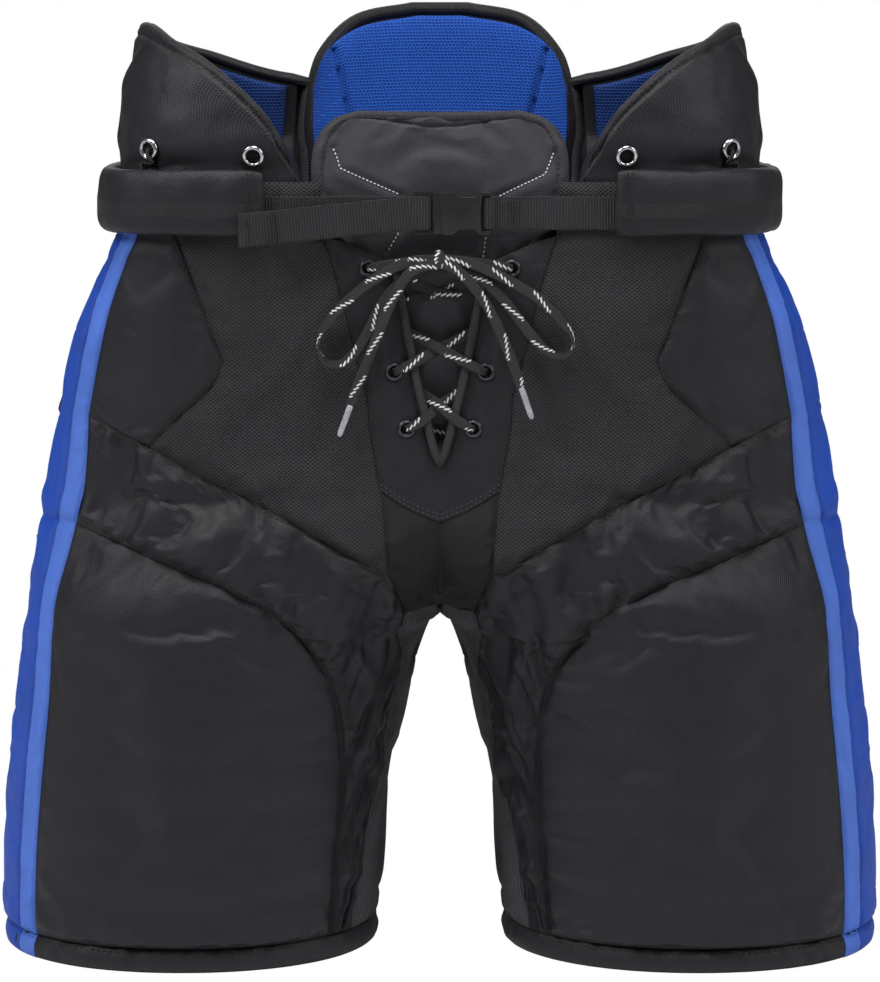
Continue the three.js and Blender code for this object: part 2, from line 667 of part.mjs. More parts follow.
add("strap_right", ribbon([[strap_start, strap_y], [60, strap_y], [42, strap_y], [37, strap_y - 1.4],
  [34.6, strap_y - 3], [30, strap_y - 3.2], [28.7, strap_y - 1.6], [28.7, strap_y + 1.6], [30, strap_y + 3.2],
  [37, strap_y + 3.2]]), colours.webbing, 0.85);

// Side-release buckle: socket, ladder-lock half and two spring prongs.
const joint_x = 0.5;
function plate(outline, y0, y1) {
  const shape = new THREE.Shape(outline.map(([x, z]) => new THREE.Vector2(x, z)));
  const geometry = new THREE.ExtrudeGeometry(shape, { depth: y1 - y0, bevelEnabled: false });
  geometry.applyMatrix4(new THREE.Matrix4().makeRotationX(Math.PI / 2));
  geometry.translate(0, y1, strap_z);
  return geometry;
}
const half = buckle_width / 2;
const socket_outline = [[0.7, -half + 1.6], [2.5, -half], [9, -half], [12.5, -half + 3.6], [23, -half + 3.6],
  [26.2, -half], [32, -half + 0.4], [33.2, -half + 2]];
const socket_shape = socket_outline.concat(socket_outline.map(([x, z]) => [x, -z]).reverse());
const bar_half = 1.6;
const deep = buckle_thickness / 2;
const slot_half = webbing_width / 2 + 0.6;
let socket = to_solid(plate(socket_shape, strap_y - deep, strap_y + deep));
socket = socket.subtract(to_solid(block(-2, 24.6, strap_y - 3.2, strap_y + 3.2, strap_z - 11, strap_z + 11)));
socket = socket.subtract(to_solid(block(26.6, 30.6, strap_y - 9, strap_y + 9, strap_z - slot_half,
  strap_z + slot_half)));
for (const [y0, y1] of [[strap_y - 9, strap_y - bar_half], [strap_y + bar_half, strap_y + 9]]) {
  socket = socket.subtract(to_solid(block(26.6, 40, y0, y1, strap_z - slot_half, strap_z + slot_half)));
}
add("buckle_socket", to_geometry(socket), colours.buckle, 0.5);

let ladder = to_solid(block(-3.8, joint_x - 0.1, strap_y - deep + 0.2, strap_y + deep - 0.2,
  strap_z - half + 0.4, strap_z + half - 0.4));
ladder = ladder.add(to_solid(block(-male_length, -3.7, strap_y - bar_half, strap_y + bar_half, strap_z - half,
  strap_z + half)));
ladder = ladder.add(to_solid(block(0.3, 14, strap_y - 2.8, strap_y + 2.8, strap_z - 1.6, strap_z + 1.6)));
for (const [x0, x1] of [[-14.4, -10.4], [-7.6, -3.9]]) {
  ladder = ladder.subtract(to_solid(block(x0, x1, strap_y - 9, strap_y + 9, strap_z - slot_half,
    strap_z + slot_half)));
}
add("buckle_ladder", to_geometry(ladder), colours.buckle, 0.5);

const prong = [[0.7, 4.6], [0.7, 8], [11, 9.1], [15.5, 10.5], [19.6, 9.6], [prong_length, 7.8], [11, 6.2]];
for (const [name, sign] of [["upper", 1], ["lower", -1]]) {
  const outline = prong.map(([x, z]) => [x, z * sign]);
  const spring = mergeVertices(plate(outline, strap_y - 2.7, strap_y + 2.7));
  add(`buckle_prong_${name}`, outward(spring), colours.buckle, 0.5);
}

// Wing pads either side of the back: height of the free edge against the turn.
const wing_edge = through([[-66, 604], [-45, 622], [-20, 633], [0, kidney_tip_height],
  [14, kidney_tip_height + 4], [26, kidney_tip_height + 3], [38, 634], [50, 619], [60, 589], [65, 560],
  [68, 531]]);
const wing_low = 507;
const wing_turns = [];
for (let k = 0; k <= 18; k += 1) wing_turns.push(-64 + 131 * k / 18);
const wing_lean = through([[540, inside - 0.4], [548, inside - 0.4], [564, -1], [600, -4],
  [kidney_tip_height + 4, -12]]);
const wing_square = through([[540, 0], [kidney_tip_height, 1]]);
function wing_surface(t, f) {
  const upright = spot(t, Math.min(f, belt_top));
  const round = new THREE.Vector3(waist_half_width * Math.cos(t * Math.PI / 180),
    -front_depth * Math.sin(t * Math.PI / 180), 0);
  const p = upright.lerp(round, 0.35 * wing_square(level(f)));
  p.z = level(f);
  return p;
}
function wing(out, into, low, drop, first, last) {
  const turns = wing_turns.slice(first, last);
  const edge = (t) => fraction(wing_edge(t) - drop);
  const [t0, t1] = [turns[0], turns[turns.length - 1]];
  return panel(wing_surface, {
    left: straight([t0, fraction(low)], [t0, edge(t0)], 6),
    right: straight([t1, fraction(low)], [t1, edge(t1)], 6),
    bottom: turns.map((t) => [t, fraction(low)]), top: turns.map((t) => [t, edge(t)]),
  }, (f) => wing_lean(level(f)) + out, (f) => wing_lean(level(f)) + into);
}
function wing_face(t, f) {
  const { p, n } = place_on(wing_surface, t, f, 1.5);
  return p.addScaledVector(n, wing_lean(level(f)));
}
const wing_pad = to_solid(wing(0, -kidney_thickness, wing_low, 0, 0, 19));
const lining_out = -kidney_thickness - curve_gap;
pair("kidney_lining", wing(lining_out, lining_out - lining_thickness, wing_low + 2, 5, 1, 18),
  colours.deep_lining, 0.9);
const grommet_places = { inner: [60, 555], outer: [42, 559] };
let wing_left = wing_pad;
for (const [name, [t, z]] of Object.entries(grommet_places)) {
  const { p, n } = place_on(wing_face, t, fraction(z), 1.5);
  const clear = new THREE.CylinderGeometry(grommet_hole + 0.9, grommet_hole + 0.9, 10, 14);
  wing_left = wing_left.subtract(to_solid(stood(clear, p, n)));
  const barrel = grommet_hole + 0.6;
  const top = grommet_lift + eyelet_collar;
  const profile = [[grommet_hole, top], [grommet_hole, -4], [barrel, -4], [barrel, top - eyelet_collar],
    [grommet_radius, top - eyelet_collar], [grommet_radius, top], [grommet_hole, top]];
  const metal = new THREE.LatheGeometry(profile.map(([r, h]) => new THREE.Vector2(r, h)), 14);
  const grommet = mergeVertices(stood(metal, p, n), 1e-4);
  add(`grommet_${name}_right`, outward(grommet), colours.nickel, 0.3, 1);
  add(`grommet_${name}_left`, mirrored(grommet), colours.nickel, 0.3, 1);
}
pair("kidney_pad", to_geometry(wing_left), colours.twill, 0.8);

// Spine pad, its lining, the tailbone pad and the belly pad with its tongue.
function spine(out, into, trim, low) {
  const w = spine_half_width - trim;
  const top = spine_top_height - trim;
  const rim = [[w, 597], [w - 9, 622], [w - 34, top - 8], [w - 75, top]];
  const place = ([x, z]) => [x / half_width(fraction(z)), fraction(z)];
  const side = run([[w - 8, low], [w, 560], [w, 597]].map(place), 6);
  const over = join(run(rim.map(place), 6), straight(place(rim[3]), other_side([place(rim[3])])[0], 3),
    reversed(other_side(run(rim.map(place), 6))));
  return panel(back_surface, {
    left: side, right: other_side(side), top: over,
    bottom: straight(side[0], other_side([side[0]])[0], over.length - 1),
  }, out, into, 0, 0.01);
}
add("spine_pad", spine(inside, inside - spine_thickness, 0, 507), colours.twill, 0.8);
const spine_face = inside - spine_thickness - layer_gap;
add("spine_lining", spine(spine_face, spine_face - lining_thickness, 7, 512), colours.lining, 0.9);
add("tailbone_pad", panel(back_surface, {
  left: straight([0.1, 1.62], [0.22, 1.97], 6),
  right: straight([-0.1, 1.62], [-0.22, 1.97], 6),
  bottom: straight([0.1, 1.62], [-0.1, 1.62], 8),
  top: straight([0.22, 1.97], [-0.22, 1.97], 8),
}, inside, inside - tailbone_thickness, 0, 0.01), colours.foam, 0.9);

const belly_side = run([[tongue_half_width - 6, 1.4], [tongue_half_width, 1.55], [34, 1.7], [44, 1.85],
  [62, 1.96], [80, 2.03], [belly_half_width, 2.1], [belly_half_width, 2.19],
  [belly_half_width - 5, fraction(belly_top_height - 14)],
  [belly_half_width - 14, fraction(belly_top_height - 5)],
  [belly_half_width - 29, fraction(belly_top_height)]], 12);
const tongue_offset = through([[1.4, inside], [1.44, inside], [1.5, inside - 5.4], [2.3, inside - 5.4]]);
const belly_edge = as_share(belly_side);
add("belly_pad", panel(front_surface, {
  left: other_side(belly_edge), right: belly_edge,
  bottom: straight(other_side([belly_edge[0]])[0], belly_edge[0], 8),
  top: straight(other_side([belly_edge[12]])[0], belly_edge[12], 8),
}, tongue_offset, (f) => tongue_offset(f) - belly_thickness, 0, 0.01), colours.twill, 0.8);

// Lace: the crossed part through the eyelets, and the free bow and ends.
function cord(points, radius, steps, sides = 6) {
  const knots = points.map(([x, y, z]) => new THREE.Vector3(x, y, z));
  const curve = new THREE.CatmullRomCurve3(knots, false, "centripetal");
  const shape = new THREE.Shape();
  for (let k = 0; k < sides; k += 1) {
    const angle = (k + 0.5) * 2 * Math.PI / sides;
    const [x, y] = [radius * Math.cos(angle), radius * Math.sin(angle)];
    if (k === 0) shape.moveTo(x, y);
    else shape.lineTo(x, y);
  }
  shape.closePath();
  const geometry = new THREE.ExtrudeGeometry(shape, { steps, bevelEnabled: false, extrudePath: curve });
  return outward(mergeVertices(geometry.deleteAttribute("normal").deleteAttribute("uv"), 1e-4));
}
const lace_front = -116;
const lace_behind = -103.2;
const knot_z = 484;
const [low, middle, high] = [eyelet_places.low, eyelet_places.middle, eyelet_places.top];
const climb = (sign) => {
  const under = sign > 0 ? 1.9 : -1.9;
  const through_hole = ([x, z], s) => [[s * x, lace_behind, z - 0.5], [s * x, -107.4, z],
    [s * x, -112.6, z + 0.5]];
  return [
    ...through_hole(low, sign), [sign * 15, -114, 379], [0, -109.2 + under, 393.5],
    [-sign * 13, -103.2, 402], ...through_hole(middle, -sign),
    [-sign * 22, -114, 420], [0, -109.4 + under, 444.5], [sign * 27, -103.2, 467],
    ...through_hole(high, sign), [sign * 38, -113.6, 484.5], [sign * 22, -114.6, 485.5],
    [sign * 4, lace_front, knot_z],
  ];
};
const route = reversed(climb(-1)).concat([[0, lace_behind, 374]], climb(1));
const lacing = to_solid(cord(route, lace_width / 2, 72));
const knot = new THREE.SphereGeometry(1, 14, 8);
knot.scale(6.4, 3.6, 4.8);
knot.translate(0, lace_front, knot_z);
add("lace_run", to_geometry(lacing.add(to_solid(knot))), colours.dark, 0.7);

const bow_left = [[-5.4, -119.2, 486.6], [-14, -121, 484.5], [-31, -122, 474.5], [-46, -122, 458],
  [-62, -121, 432], [-74, -120, 413], [-73.5, -120, 400], [-62, -120, 397.5], [-49, -121, 409],
  [-36, -122, 440], [-27, -122, 462], [-14, -122, 476], [-6, -119.4, 480.4]];
const bow_right = bow_left.map(([x, y, z]) => [x < -10 ? -x * 1.12 : -x, y, z]);
const tail_left = [[-1.9, -120.9, 483], [-6, -124, 479], [-20, -125.6, 468], [-34, -126, 446],
  [-42, -125, 416], [-52, -123, 397], [-57, -122, 387]];
const tail_right = [[1.9, -120.9, 483], [6, -124, 479], [22, -125.6, 466], [38, -126, 442],
  [48, -125, 416], [53, -123, 398], [53.5, -122, 393]];
add("lace_loop_left", cord(bow_left, lace_width / 2, 44), colours.dark, 0.7);
add("lace_loop_right", cord(bow_right, lace_width / 2, 46), colours.dark, 0.7);
add("lace_tail_left", cord(tail_left, lace_width / 2, 20), colours.dark, 0.7);
add("lace_tail_right", cord(tail_right, lace_width / 2, 20), colours.dark, 0.7);
function aglet(points) {
  const [a, b] = points.slice(-2).map(([x, y, z]) => new THREE.Vector3(x, y, z));
  const along = b.clone().sub(a).normalize();
  const tip = new THREE.CylinderGeometry(aglet_width / 2, aglet_width / 2, aglet_length, 10);
  return stood(tip, b.clone().addScaledVector(along, aglet_length / 2 + layer_gap), along);
}
add("aglet_left", aglet(tail_left), colours.nickel, 0.4);
add("aglet_right", aglet(tail_right), colours.nickel, 0.4);

// Short tie cords from the outer wing grommets down into the belt.
for (const [name, side] of [["right", 1], ["left", -1]]) {
  const { p, n } = place_on(wing_face, grommet_places.outer[0], fraction(grommet_places.outer[1]), 1.5);
  const at = (out, z) => {
    const q = p.clone().addScaledVector(n, out);
    return [q.x * side, q.y, z];
  };
  add(`kidney_tie_${name}`, cord([at(-2.8, 556.3), at(1.6, 556.2), at(3.8, 554.6), at(3.4, 551),
    at(1.6, 548)], 1.3, 8), colours.dark, 0.8);
}

export default group;
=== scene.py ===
import bpy
import json
import math
import numpy as np
from mathutils import Matrix, Vector
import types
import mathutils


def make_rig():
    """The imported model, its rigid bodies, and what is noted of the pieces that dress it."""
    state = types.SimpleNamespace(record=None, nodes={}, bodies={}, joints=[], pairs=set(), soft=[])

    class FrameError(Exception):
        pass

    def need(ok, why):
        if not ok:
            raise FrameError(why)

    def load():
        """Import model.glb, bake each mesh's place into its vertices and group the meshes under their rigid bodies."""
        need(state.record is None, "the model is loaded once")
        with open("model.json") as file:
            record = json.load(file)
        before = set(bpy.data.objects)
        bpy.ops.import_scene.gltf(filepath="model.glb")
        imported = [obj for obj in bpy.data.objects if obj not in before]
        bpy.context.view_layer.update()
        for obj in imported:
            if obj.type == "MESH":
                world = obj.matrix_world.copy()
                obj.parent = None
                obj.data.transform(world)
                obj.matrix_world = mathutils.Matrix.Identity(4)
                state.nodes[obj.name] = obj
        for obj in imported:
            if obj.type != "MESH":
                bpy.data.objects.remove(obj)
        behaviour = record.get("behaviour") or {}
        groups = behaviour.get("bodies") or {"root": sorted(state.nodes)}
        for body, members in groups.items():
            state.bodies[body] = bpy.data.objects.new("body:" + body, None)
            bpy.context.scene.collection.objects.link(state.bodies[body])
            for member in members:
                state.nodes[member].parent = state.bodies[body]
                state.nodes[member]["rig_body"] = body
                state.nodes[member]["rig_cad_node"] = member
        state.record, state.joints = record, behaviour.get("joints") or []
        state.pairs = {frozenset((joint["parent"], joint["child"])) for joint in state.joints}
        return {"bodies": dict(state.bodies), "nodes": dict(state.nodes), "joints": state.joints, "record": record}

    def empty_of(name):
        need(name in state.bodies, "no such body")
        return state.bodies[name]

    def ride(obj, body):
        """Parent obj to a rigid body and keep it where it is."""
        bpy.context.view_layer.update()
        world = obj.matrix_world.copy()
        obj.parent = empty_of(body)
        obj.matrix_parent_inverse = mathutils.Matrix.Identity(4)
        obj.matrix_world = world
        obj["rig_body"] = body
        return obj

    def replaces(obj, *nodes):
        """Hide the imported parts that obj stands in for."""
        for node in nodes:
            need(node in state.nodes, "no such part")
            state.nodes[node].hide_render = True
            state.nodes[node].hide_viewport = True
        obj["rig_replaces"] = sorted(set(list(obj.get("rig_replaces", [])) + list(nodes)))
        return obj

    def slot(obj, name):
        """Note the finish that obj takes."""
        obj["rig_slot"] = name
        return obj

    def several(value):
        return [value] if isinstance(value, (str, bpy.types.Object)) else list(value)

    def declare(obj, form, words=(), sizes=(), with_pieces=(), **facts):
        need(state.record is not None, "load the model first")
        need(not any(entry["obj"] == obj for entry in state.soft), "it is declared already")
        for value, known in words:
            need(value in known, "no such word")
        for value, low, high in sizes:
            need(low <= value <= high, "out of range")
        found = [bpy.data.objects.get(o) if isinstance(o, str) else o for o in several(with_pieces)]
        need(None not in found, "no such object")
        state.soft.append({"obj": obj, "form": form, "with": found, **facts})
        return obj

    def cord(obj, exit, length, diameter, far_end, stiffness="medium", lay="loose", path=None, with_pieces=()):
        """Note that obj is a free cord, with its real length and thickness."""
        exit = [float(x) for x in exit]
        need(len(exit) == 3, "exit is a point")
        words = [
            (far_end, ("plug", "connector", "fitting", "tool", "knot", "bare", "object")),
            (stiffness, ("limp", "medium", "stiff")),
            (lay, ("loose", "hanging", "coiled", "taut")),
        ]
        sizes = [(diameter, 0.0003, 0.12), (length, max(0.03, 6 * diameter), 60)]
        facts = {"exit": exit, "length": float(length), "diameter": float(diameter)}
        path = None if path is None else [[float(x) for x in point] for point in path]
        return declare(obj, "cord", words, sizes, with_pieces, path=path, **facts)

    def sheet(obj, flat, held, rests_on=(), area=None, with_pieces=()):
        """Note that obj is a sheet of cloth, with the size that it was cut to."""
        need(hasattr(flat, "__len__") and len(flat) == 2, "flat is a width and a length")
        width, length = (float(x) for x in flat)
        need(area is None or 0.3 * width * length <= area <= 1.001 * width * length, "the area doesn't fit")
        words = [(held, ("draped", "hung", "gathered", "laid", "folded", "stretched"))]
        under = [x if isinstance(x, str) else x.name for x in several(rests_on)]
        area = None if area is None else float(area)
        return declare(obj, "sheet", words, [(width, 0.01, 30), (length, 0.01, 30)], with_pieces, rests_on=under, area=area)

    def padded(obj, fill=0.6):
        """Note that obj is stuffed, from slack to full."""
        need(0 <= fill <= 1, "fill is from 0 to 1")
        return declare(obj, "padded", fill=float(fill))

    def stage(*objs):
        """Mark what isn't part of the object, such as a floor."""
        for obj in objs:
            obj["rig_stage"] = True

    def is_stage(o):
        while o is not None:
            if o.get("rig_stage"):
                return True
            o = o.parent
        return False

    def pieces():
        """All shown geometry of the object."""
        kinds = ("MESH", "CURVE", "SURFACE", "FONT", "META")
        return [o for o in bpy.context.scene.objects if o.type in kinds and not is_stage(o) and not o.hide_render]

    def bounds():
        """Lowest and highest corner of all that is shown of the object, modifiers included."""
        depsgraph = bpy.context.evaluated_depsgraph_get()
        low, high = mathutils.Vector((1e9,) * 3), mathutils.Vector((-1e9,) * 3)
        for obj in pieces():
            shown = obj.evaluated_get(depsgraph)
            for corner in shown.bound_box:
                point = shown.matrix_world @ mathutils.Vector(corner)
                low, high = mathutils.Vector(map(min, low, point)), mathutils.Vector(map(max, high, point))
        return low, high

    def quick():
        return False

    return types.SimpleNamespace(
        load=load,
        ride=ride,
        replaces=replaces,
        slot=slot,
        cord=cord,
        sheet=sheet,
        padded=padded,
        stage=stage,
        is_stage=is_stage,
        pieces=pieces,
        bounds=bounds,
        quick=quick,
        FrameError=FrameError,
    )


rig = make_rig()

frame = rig.load()
cad_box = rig.bounds()
bpy.ops.object.select_all(action="DESELECT")
scene = bpy.context.scene

# ------------------------------------------------------------------ Thigh guards
# Moulded plastic plates, 3 mm thick, slid into pockets behind the thigh panels.
# They follow the shell, so the shell's own cross-sections are laid down here first.
hem_half_width = 0.307
waist_half_width = 0.2185
crotch_height = 0.236
belt_bottom = 0.503
belt_height = 0.043
leg_gap_half = 0.046
front_depth = 0.109
back_depth = 0.114
fabric = 0.0032
waist = 2
fork_top = 1.35


def level(f):
    upper = crotch_height + (f - 1) * (belt_bottom - crotch_height)
    return np.where(f <= 1, f * crotch_height, upper)


def fraction(z):
    return np.where(z <= crotch_height, z / crotch_height, 1 + (z - crotch_height) / (belt_bottom - crotch_height))


def through(stations):
    """A smooth curve through (place, value) stations."""
    at, value = np.array(stations, float).T
    slope = np.zeros(len(at))
    rise = np.diff(value)
    for i in range(1, len(at) - 1):
        if rise[i - 1] * rise[i] > 0:
            slope[i] = (value[i + 1] - value[i - 1]) / (at[i + 1] - at[i - 1])

    def curve(x):
        x = np.clip(x, at[0], at[-1])
        i = np.clip(np.searchsorted(at, x, side="right") - 1, 0, len(at) - 2)
        h = at[i + 1] - at[i]
        s = (x - at[i]) / h
        low = (1 + 2 * s) * (1 - s) ** 2 * value[i] + h * s * (1 - s) ** 2 * slope[i]
        return low + s * s * (3 - 2 * s) * value[i + 1] - h * s * s * (1 - s) * slope[i + 1]

    return curve


flare = through([(0, 0.99), (0.12, 1.02), (0.5, 0.97), (1, 0.8), (1.3, 0.655), (1.5, 0.53), (1.75, 0.34),
                 (1.94, 0.08), (2, 0), (2.3, 0)])
inner_edge = through([(0, 1), (0.15, 0.98), (0.43, 0.85), (0.7, 0.59), (0.9, 0.36), (0.97, 0.22), (1, 0.004)])
front_shape = through([(0, 0.955), (0.4, 0.99), (1, 1.01), (1.5, 1), (2, 0.995), (2.3, 0.995)])
back_shape = through([(0, 0.915), (0.4, 0.965), (1, 1.02), (1.4, 1.035), (1.8, 0.99), (2, 0.955), (2.3, 0.955)])
squareness = through([(0, 2.1), (1, 2.15), (1.5, 2.4), (2, 4.2), (2.3, 4.2)])


def ring(f, back):
    """Centre, outer and inner half widths, depth and squareness of the right leg at height f."""
    f = np.asarray(f, float)
    spread = hem_half_width - waist_half_width
    outer = waist_half_width + spread * flare(f)
    depth = np.where(back, back_depth * back_shape(f), front_depth * front_shape(f))
    n = squareness(f)
    inner = leg_gap_half * inner_edge(f)
    s = np.clip((f - 1) / (fork_top - 1), 0, 1)
    fork = (waist_half_width + spread * flare(1)) / 2 * (1 - s * s * (3 - 2 * s))
    chord = np.sqrt(np.maximum(0, 1 - (1 - s) ** 2))
    fork_w = fork / np.maximum(1e-6, 1 - chord**n) ** (1 / n)
    centre = np.where(f <= 1, (outer + inner) / 2, np.where(f >= fork_top, 0, fork))
    w = np.where(f <= 1, centre - inner, np.where(f >= fork_top, 1e-9, fork_w))
    return centre, outer - centre, w, depth, n


def spot(t, f):
    """Points of the right leg at turn t in degrees: 0 outer side, 90 front, 180 inner side, 270 back."""
    turn = np.mod(t, 360)
    back = turn > 180
    centre, a, w, depth, n = ring(f, back)
    c, s = np.cos(np.radians(turn)), np.abs(np.sin(np.radians(turn)))
    reach = (np.abs(c) ** n + s**n) ** (-1 / n)
    x = centre + np.where(c >= 0, a, w) * reach * c
    y = depth * reach * s * np.where(back, 1, -1)
    return np.stack(np.broadcast_arrays(np.maximum(x, 0.00025), y, level(f)), -1)


def across(q, f, back=False):
    """Points of the whole garment at a share q of the local half width."""
    centre, a, w, depth, n = ring(f, back)
    x = np.abs(q) * (centre + a)
    share = np.where(x >= centre, (x - centre) / a, (centre - x) / w)
    y = depth * np.maximum(0, 1 - np.minimum(1, share) ** n) ** (1 / n)
    return np.stack(np.broadcast_arrays(np.sign(q) * x, y if back else -y, level(f)), -1)


def half_width(f):
    centre, a, _, _, _ = ring(f, False)
    return centre + a


def turn_of(x, f):
    centre, a, w, depth, _ = ring(f, False)
    p = across(x / (centre + a), f)
    share = np.where(x >= centre, (x - centre) / a, (x - centre) / w)
    return np.degrees(np.arctan2(np.abs(p[..., 1]) / depth, share))


def run(stations, count):
    """Evenly spaced places along a smooth line through stations (place, height)."""
    p = np.array(stations, float)
    last = len(p) - 1
    k = np.arange(last + 1)
    before, after = np.maximum(0, k - 1), np.minimum(last, k + 1)
    slope = (p[after] - p[before]) / (after - before)[:, None]
    t = np.linspace(0, last, count + 1)
    i = np.minimum(last - 1, t.astype(int))
    s = (t - i)[:, None]
    low = (1 + 2 * s) * (1 - s) ** 2 * p[i] + s * (1 - s) ** 2 * slope[i]
    return low + s * s * (3 - 2 * s) * p[i + 1] - s * s * (1 - s) * slope[i + 1]


def join(*lines):
    return np.concatenate([lines[0]] + [line[1:] for line in lines[1:]])


def laid(surface, bottom, top, left, right):
    """Grid of points between four seam lines of (place, height)."""
    u = np.linspace(0, 1, len(bottom))[None, :, None]
    v = np.linspace(0, 1, len(left))[:, None, None]
    rise = (1 - v) * bottom[None] + v * top[None]
    lean_left = left[:, None] - (1 - v) * bottom[0] - v * top[0]
    lean_right = right[:, None] - (1 - v) * bottom[-1] - v * top[-1]
    places = rise + (1 - u) * lean_left + u * lean_right
    return surface(places[..., 0], places[..., 1])


def facing(grid, middle=0.0):
    """Unit normals of a grid, pointing away from the upright axis through x = middle."""
    n = np.cross(np.gradient(grid, axis=1), np.gradient(grid, axis=0))
    n /= np.maximum(1e-12, np.linalg.norm(n, axis=-1, keepdims=True))
    away = grid * [1, 1, 0] - [middle, 0, 0]
    return n if (n * away * [0.4, 1, 0]).sum() > 0 else -n


def lengths(grid):
    """How far each point of a grid lies along its row and along its column, in metres."""
    du = np.linalg.norm(np.diff(grid, axis=1), axis=-1)
    dv = np.linalg.norm(np.diff(grid, axis=0), axis=-1)
    return np.pad(np.cumsum(du, 1), ((0, 0), (1, 0))), np.pad(np.cumsum(dv, 0), ((1, 0), (0, 0)))


def closed(name, outer, inner, normal, rim=None):
    """One closed piece from its outer and inner grids, with the cloth's own UVs and seam distance."""
    rows, cols = outer.shape[:2]
    at = np.arange(rows * cols).reshape(rows, cols)
    front = np.stack([at[:-1, :-1], at[:-1, 1:], at[1:, 1:], at[1:, :-1]], -1).reshape(-1, 4)
    loop = np.concatenate([at[0], at[1:, -1], at[-1, -2::-1], at[-2:0:-1, 0]])
    after = np.roll(loop, -1)
    n = rows * cols
    walls = np.stack([after, loop, loop + n, after + n], -1)
    faces = np.concatenate([front, front[:, ::-1] + n, walls])
    mid = np.cross(np.gradient(outer, axis=1), np.gradient(outer, axis=0))
    if (mid * normal).sum() < 0:
        faces = faces[:, ::-1]
    u, v = lengths(outer)
    uv = np.tile(np.stack([u, v], -1).reshape(-1, 2), (2, 1))
    rim = np.zeros((rows, cols)) if rim is None else rim
    points = np.concatenate([outer.reshape(-1, 3), inner.reshape(-1, 3)])
    return piece_of(name, points, faces, uv, np.tile(rim.ravel(), 2))


def piece_of(name, points, faces, uv=None, seam=None):
    mesh = bpy.data.meshes.new(name)
    face_list = faces if isinstance(faces, list) else np.asarray(faces).tolist()
    mesh.from_pydata(np.asarray(points).tolist(), [], face_list)
    mesh.polygons.foreach_set("use_smooth", [True] * len(mesh.polygons))
    if uv is not None:
        corner = np.empty(len(mesh.loops), int)
        mesh.loops.foreach_get("vertex_index", corner)
        mesh.uv_layers.new(name="cloth").data.foreach_set("uv", np.asarray(uv)[corner].ravel())
    if seam is not None:
        mesh.attributes.new("seam", "FLOAT", "POINT").data.foreach_set("value", np.asarray(seam, float))
    mesh.update()
    piece = bpy.data.objects.new(name, mesh)
    scene.collection.objects.link(piece)
    return piece


class Strand:
    """An output of a shader node, with sums written as sums."""

    def __init__(self, finish, socket):
        self.finish, self.socket = finish, socket

    def sum(self, operation, a, b=None, c=None):
        return self.finish.node("Math", {"operation": operation},
                                **{f"i{k}": v for k, v in enumerate((a, b, c)) if v is not None})

    def __add__(self, other):
        return self.sum("ADD", self, other)

    def __radd__(self, other):
        return self.sum("ADD", other, self)

    def __sub__(self, other):
        return self.sum("SUBTRACT", self, other)

    def __rsub__(self, other):
        return self.sum("SUBTRACT", other, self)

    def __mul__(self, other):
        return self.sum("MULTIPLY", self, other)

    def __rmul__(self, other):
        return self.sum("MULTIPLY", other, self)

    def __truediv__(self, other):
        return self.sum("DIVIDE", self, other)

    def __gt__(self, other):
        return self.sum("GREATER_THAN", self, other)

    def __lt__(self, other):
        return self.sum("LESS_THAN", self, other)

    def wave(self):
        return self.sum("SINE", self)

    def part(self):
        return self.sum("FRACT", self)

    def size(self):
        return self.sum("ABSOLUTE", self)


class Finish:
    """A material under work. Fixed values go on the shader's own sockets."""

    def __init__(self, name, colour, roughness, **fixed):
        self.material = bpy.data.materials.new(name)
        self.material.use_nodes = True
        self.tree = self.material.node_tree
        self.shader = self.tree.nodes["Principled BSDF"]
        self.colour = srgb(*colour)
        self.shader.inputs["Base Color"].default_value = self.colour
        self.shader.inputs["Roughness"].default_value = roughness
        for socket, value in fixed.items():
            self.shader.inputs[socket.replace("_", " ")].default_value = value
        self.material.diffuse_color = self.colour

    def node(self, kind, settings=None, out=0, **values):
        n = self.tree.nodes.new("ShaderNode" + kind)
        for key, value in (settings or {}).items():
            if key == "stops":
                for k, (place, shade) in enumerate(value):
                    stop = n.color_ramp.elements[k] if k < 2 else n.color_ramp.elements.new(place)
                    stop.position, stop.color = place, shade
            else:
                setattr(n, key, value)
        for key, value in values.items():
            socket = n.inputs[int(key[1:])] if key[0] == "i" and key[1:].isdigit() else n.inputs[key]
            self.put(socket, value)
        return Strand(self, n.outputs[out])

    def put(self, socket, value):
        if isinstance(value, Strand):
            self.tree.links.new(value.socket, socket)
        else:
            socket.default_value = value

    def set(self, socket, value):
        self.put(self.shader.inputs[socket], value)

    def between(self, amount, a, b):
        """A colour that goes from a to b as amount goes from 0 to 1."""
        return self.node("Mix", {"data_type": "RGBA"}, out=2, i0=amount, i6=a, i7=b)

    def uv(self):
        """The cloth's own coordinates, in metres across and along."""
        split = self.node("SeparateXYZ", i0=self.node("UVMap", {"uv_map": "cloth"})).socket.node
        return Strand(self, split.outputs[0]), Strand(self, split.outputs[1])

    def place(self):
        return self.node("TexCoord", out=3)

    def noise(self, scale, detail=2.0, at=None, roughness=0.5):
        return self.node("TexNoise", Vector=self.place() if at is None else at, Scale=scale, Detail=detail,
                         Roughness=roughness)

    def seam(self):
        """Distance to the nearest seam, in metres."""
        return self.node("Attribute", {"attribute_name": "seam"}, out=2)

    def bump(self, height, distance, strength=1.0):
        self.set("Normal", self.node("Bump", Height=height, Distance=distance, Strength=strength))

    def __call__(self, piece):
        piece.data.materials.clear()
        piece.data.materials.append(self.material)
        return piece


def srgb(red, green, blue, alpha=1.0):
    def linear(c):
        c = c / 255
        return c / 12.92 if c <= 0.04045 else ((c + 0.055) / 1.055) ** 2.4

    return (linear(red), linear(green), linear(blue), alpha)


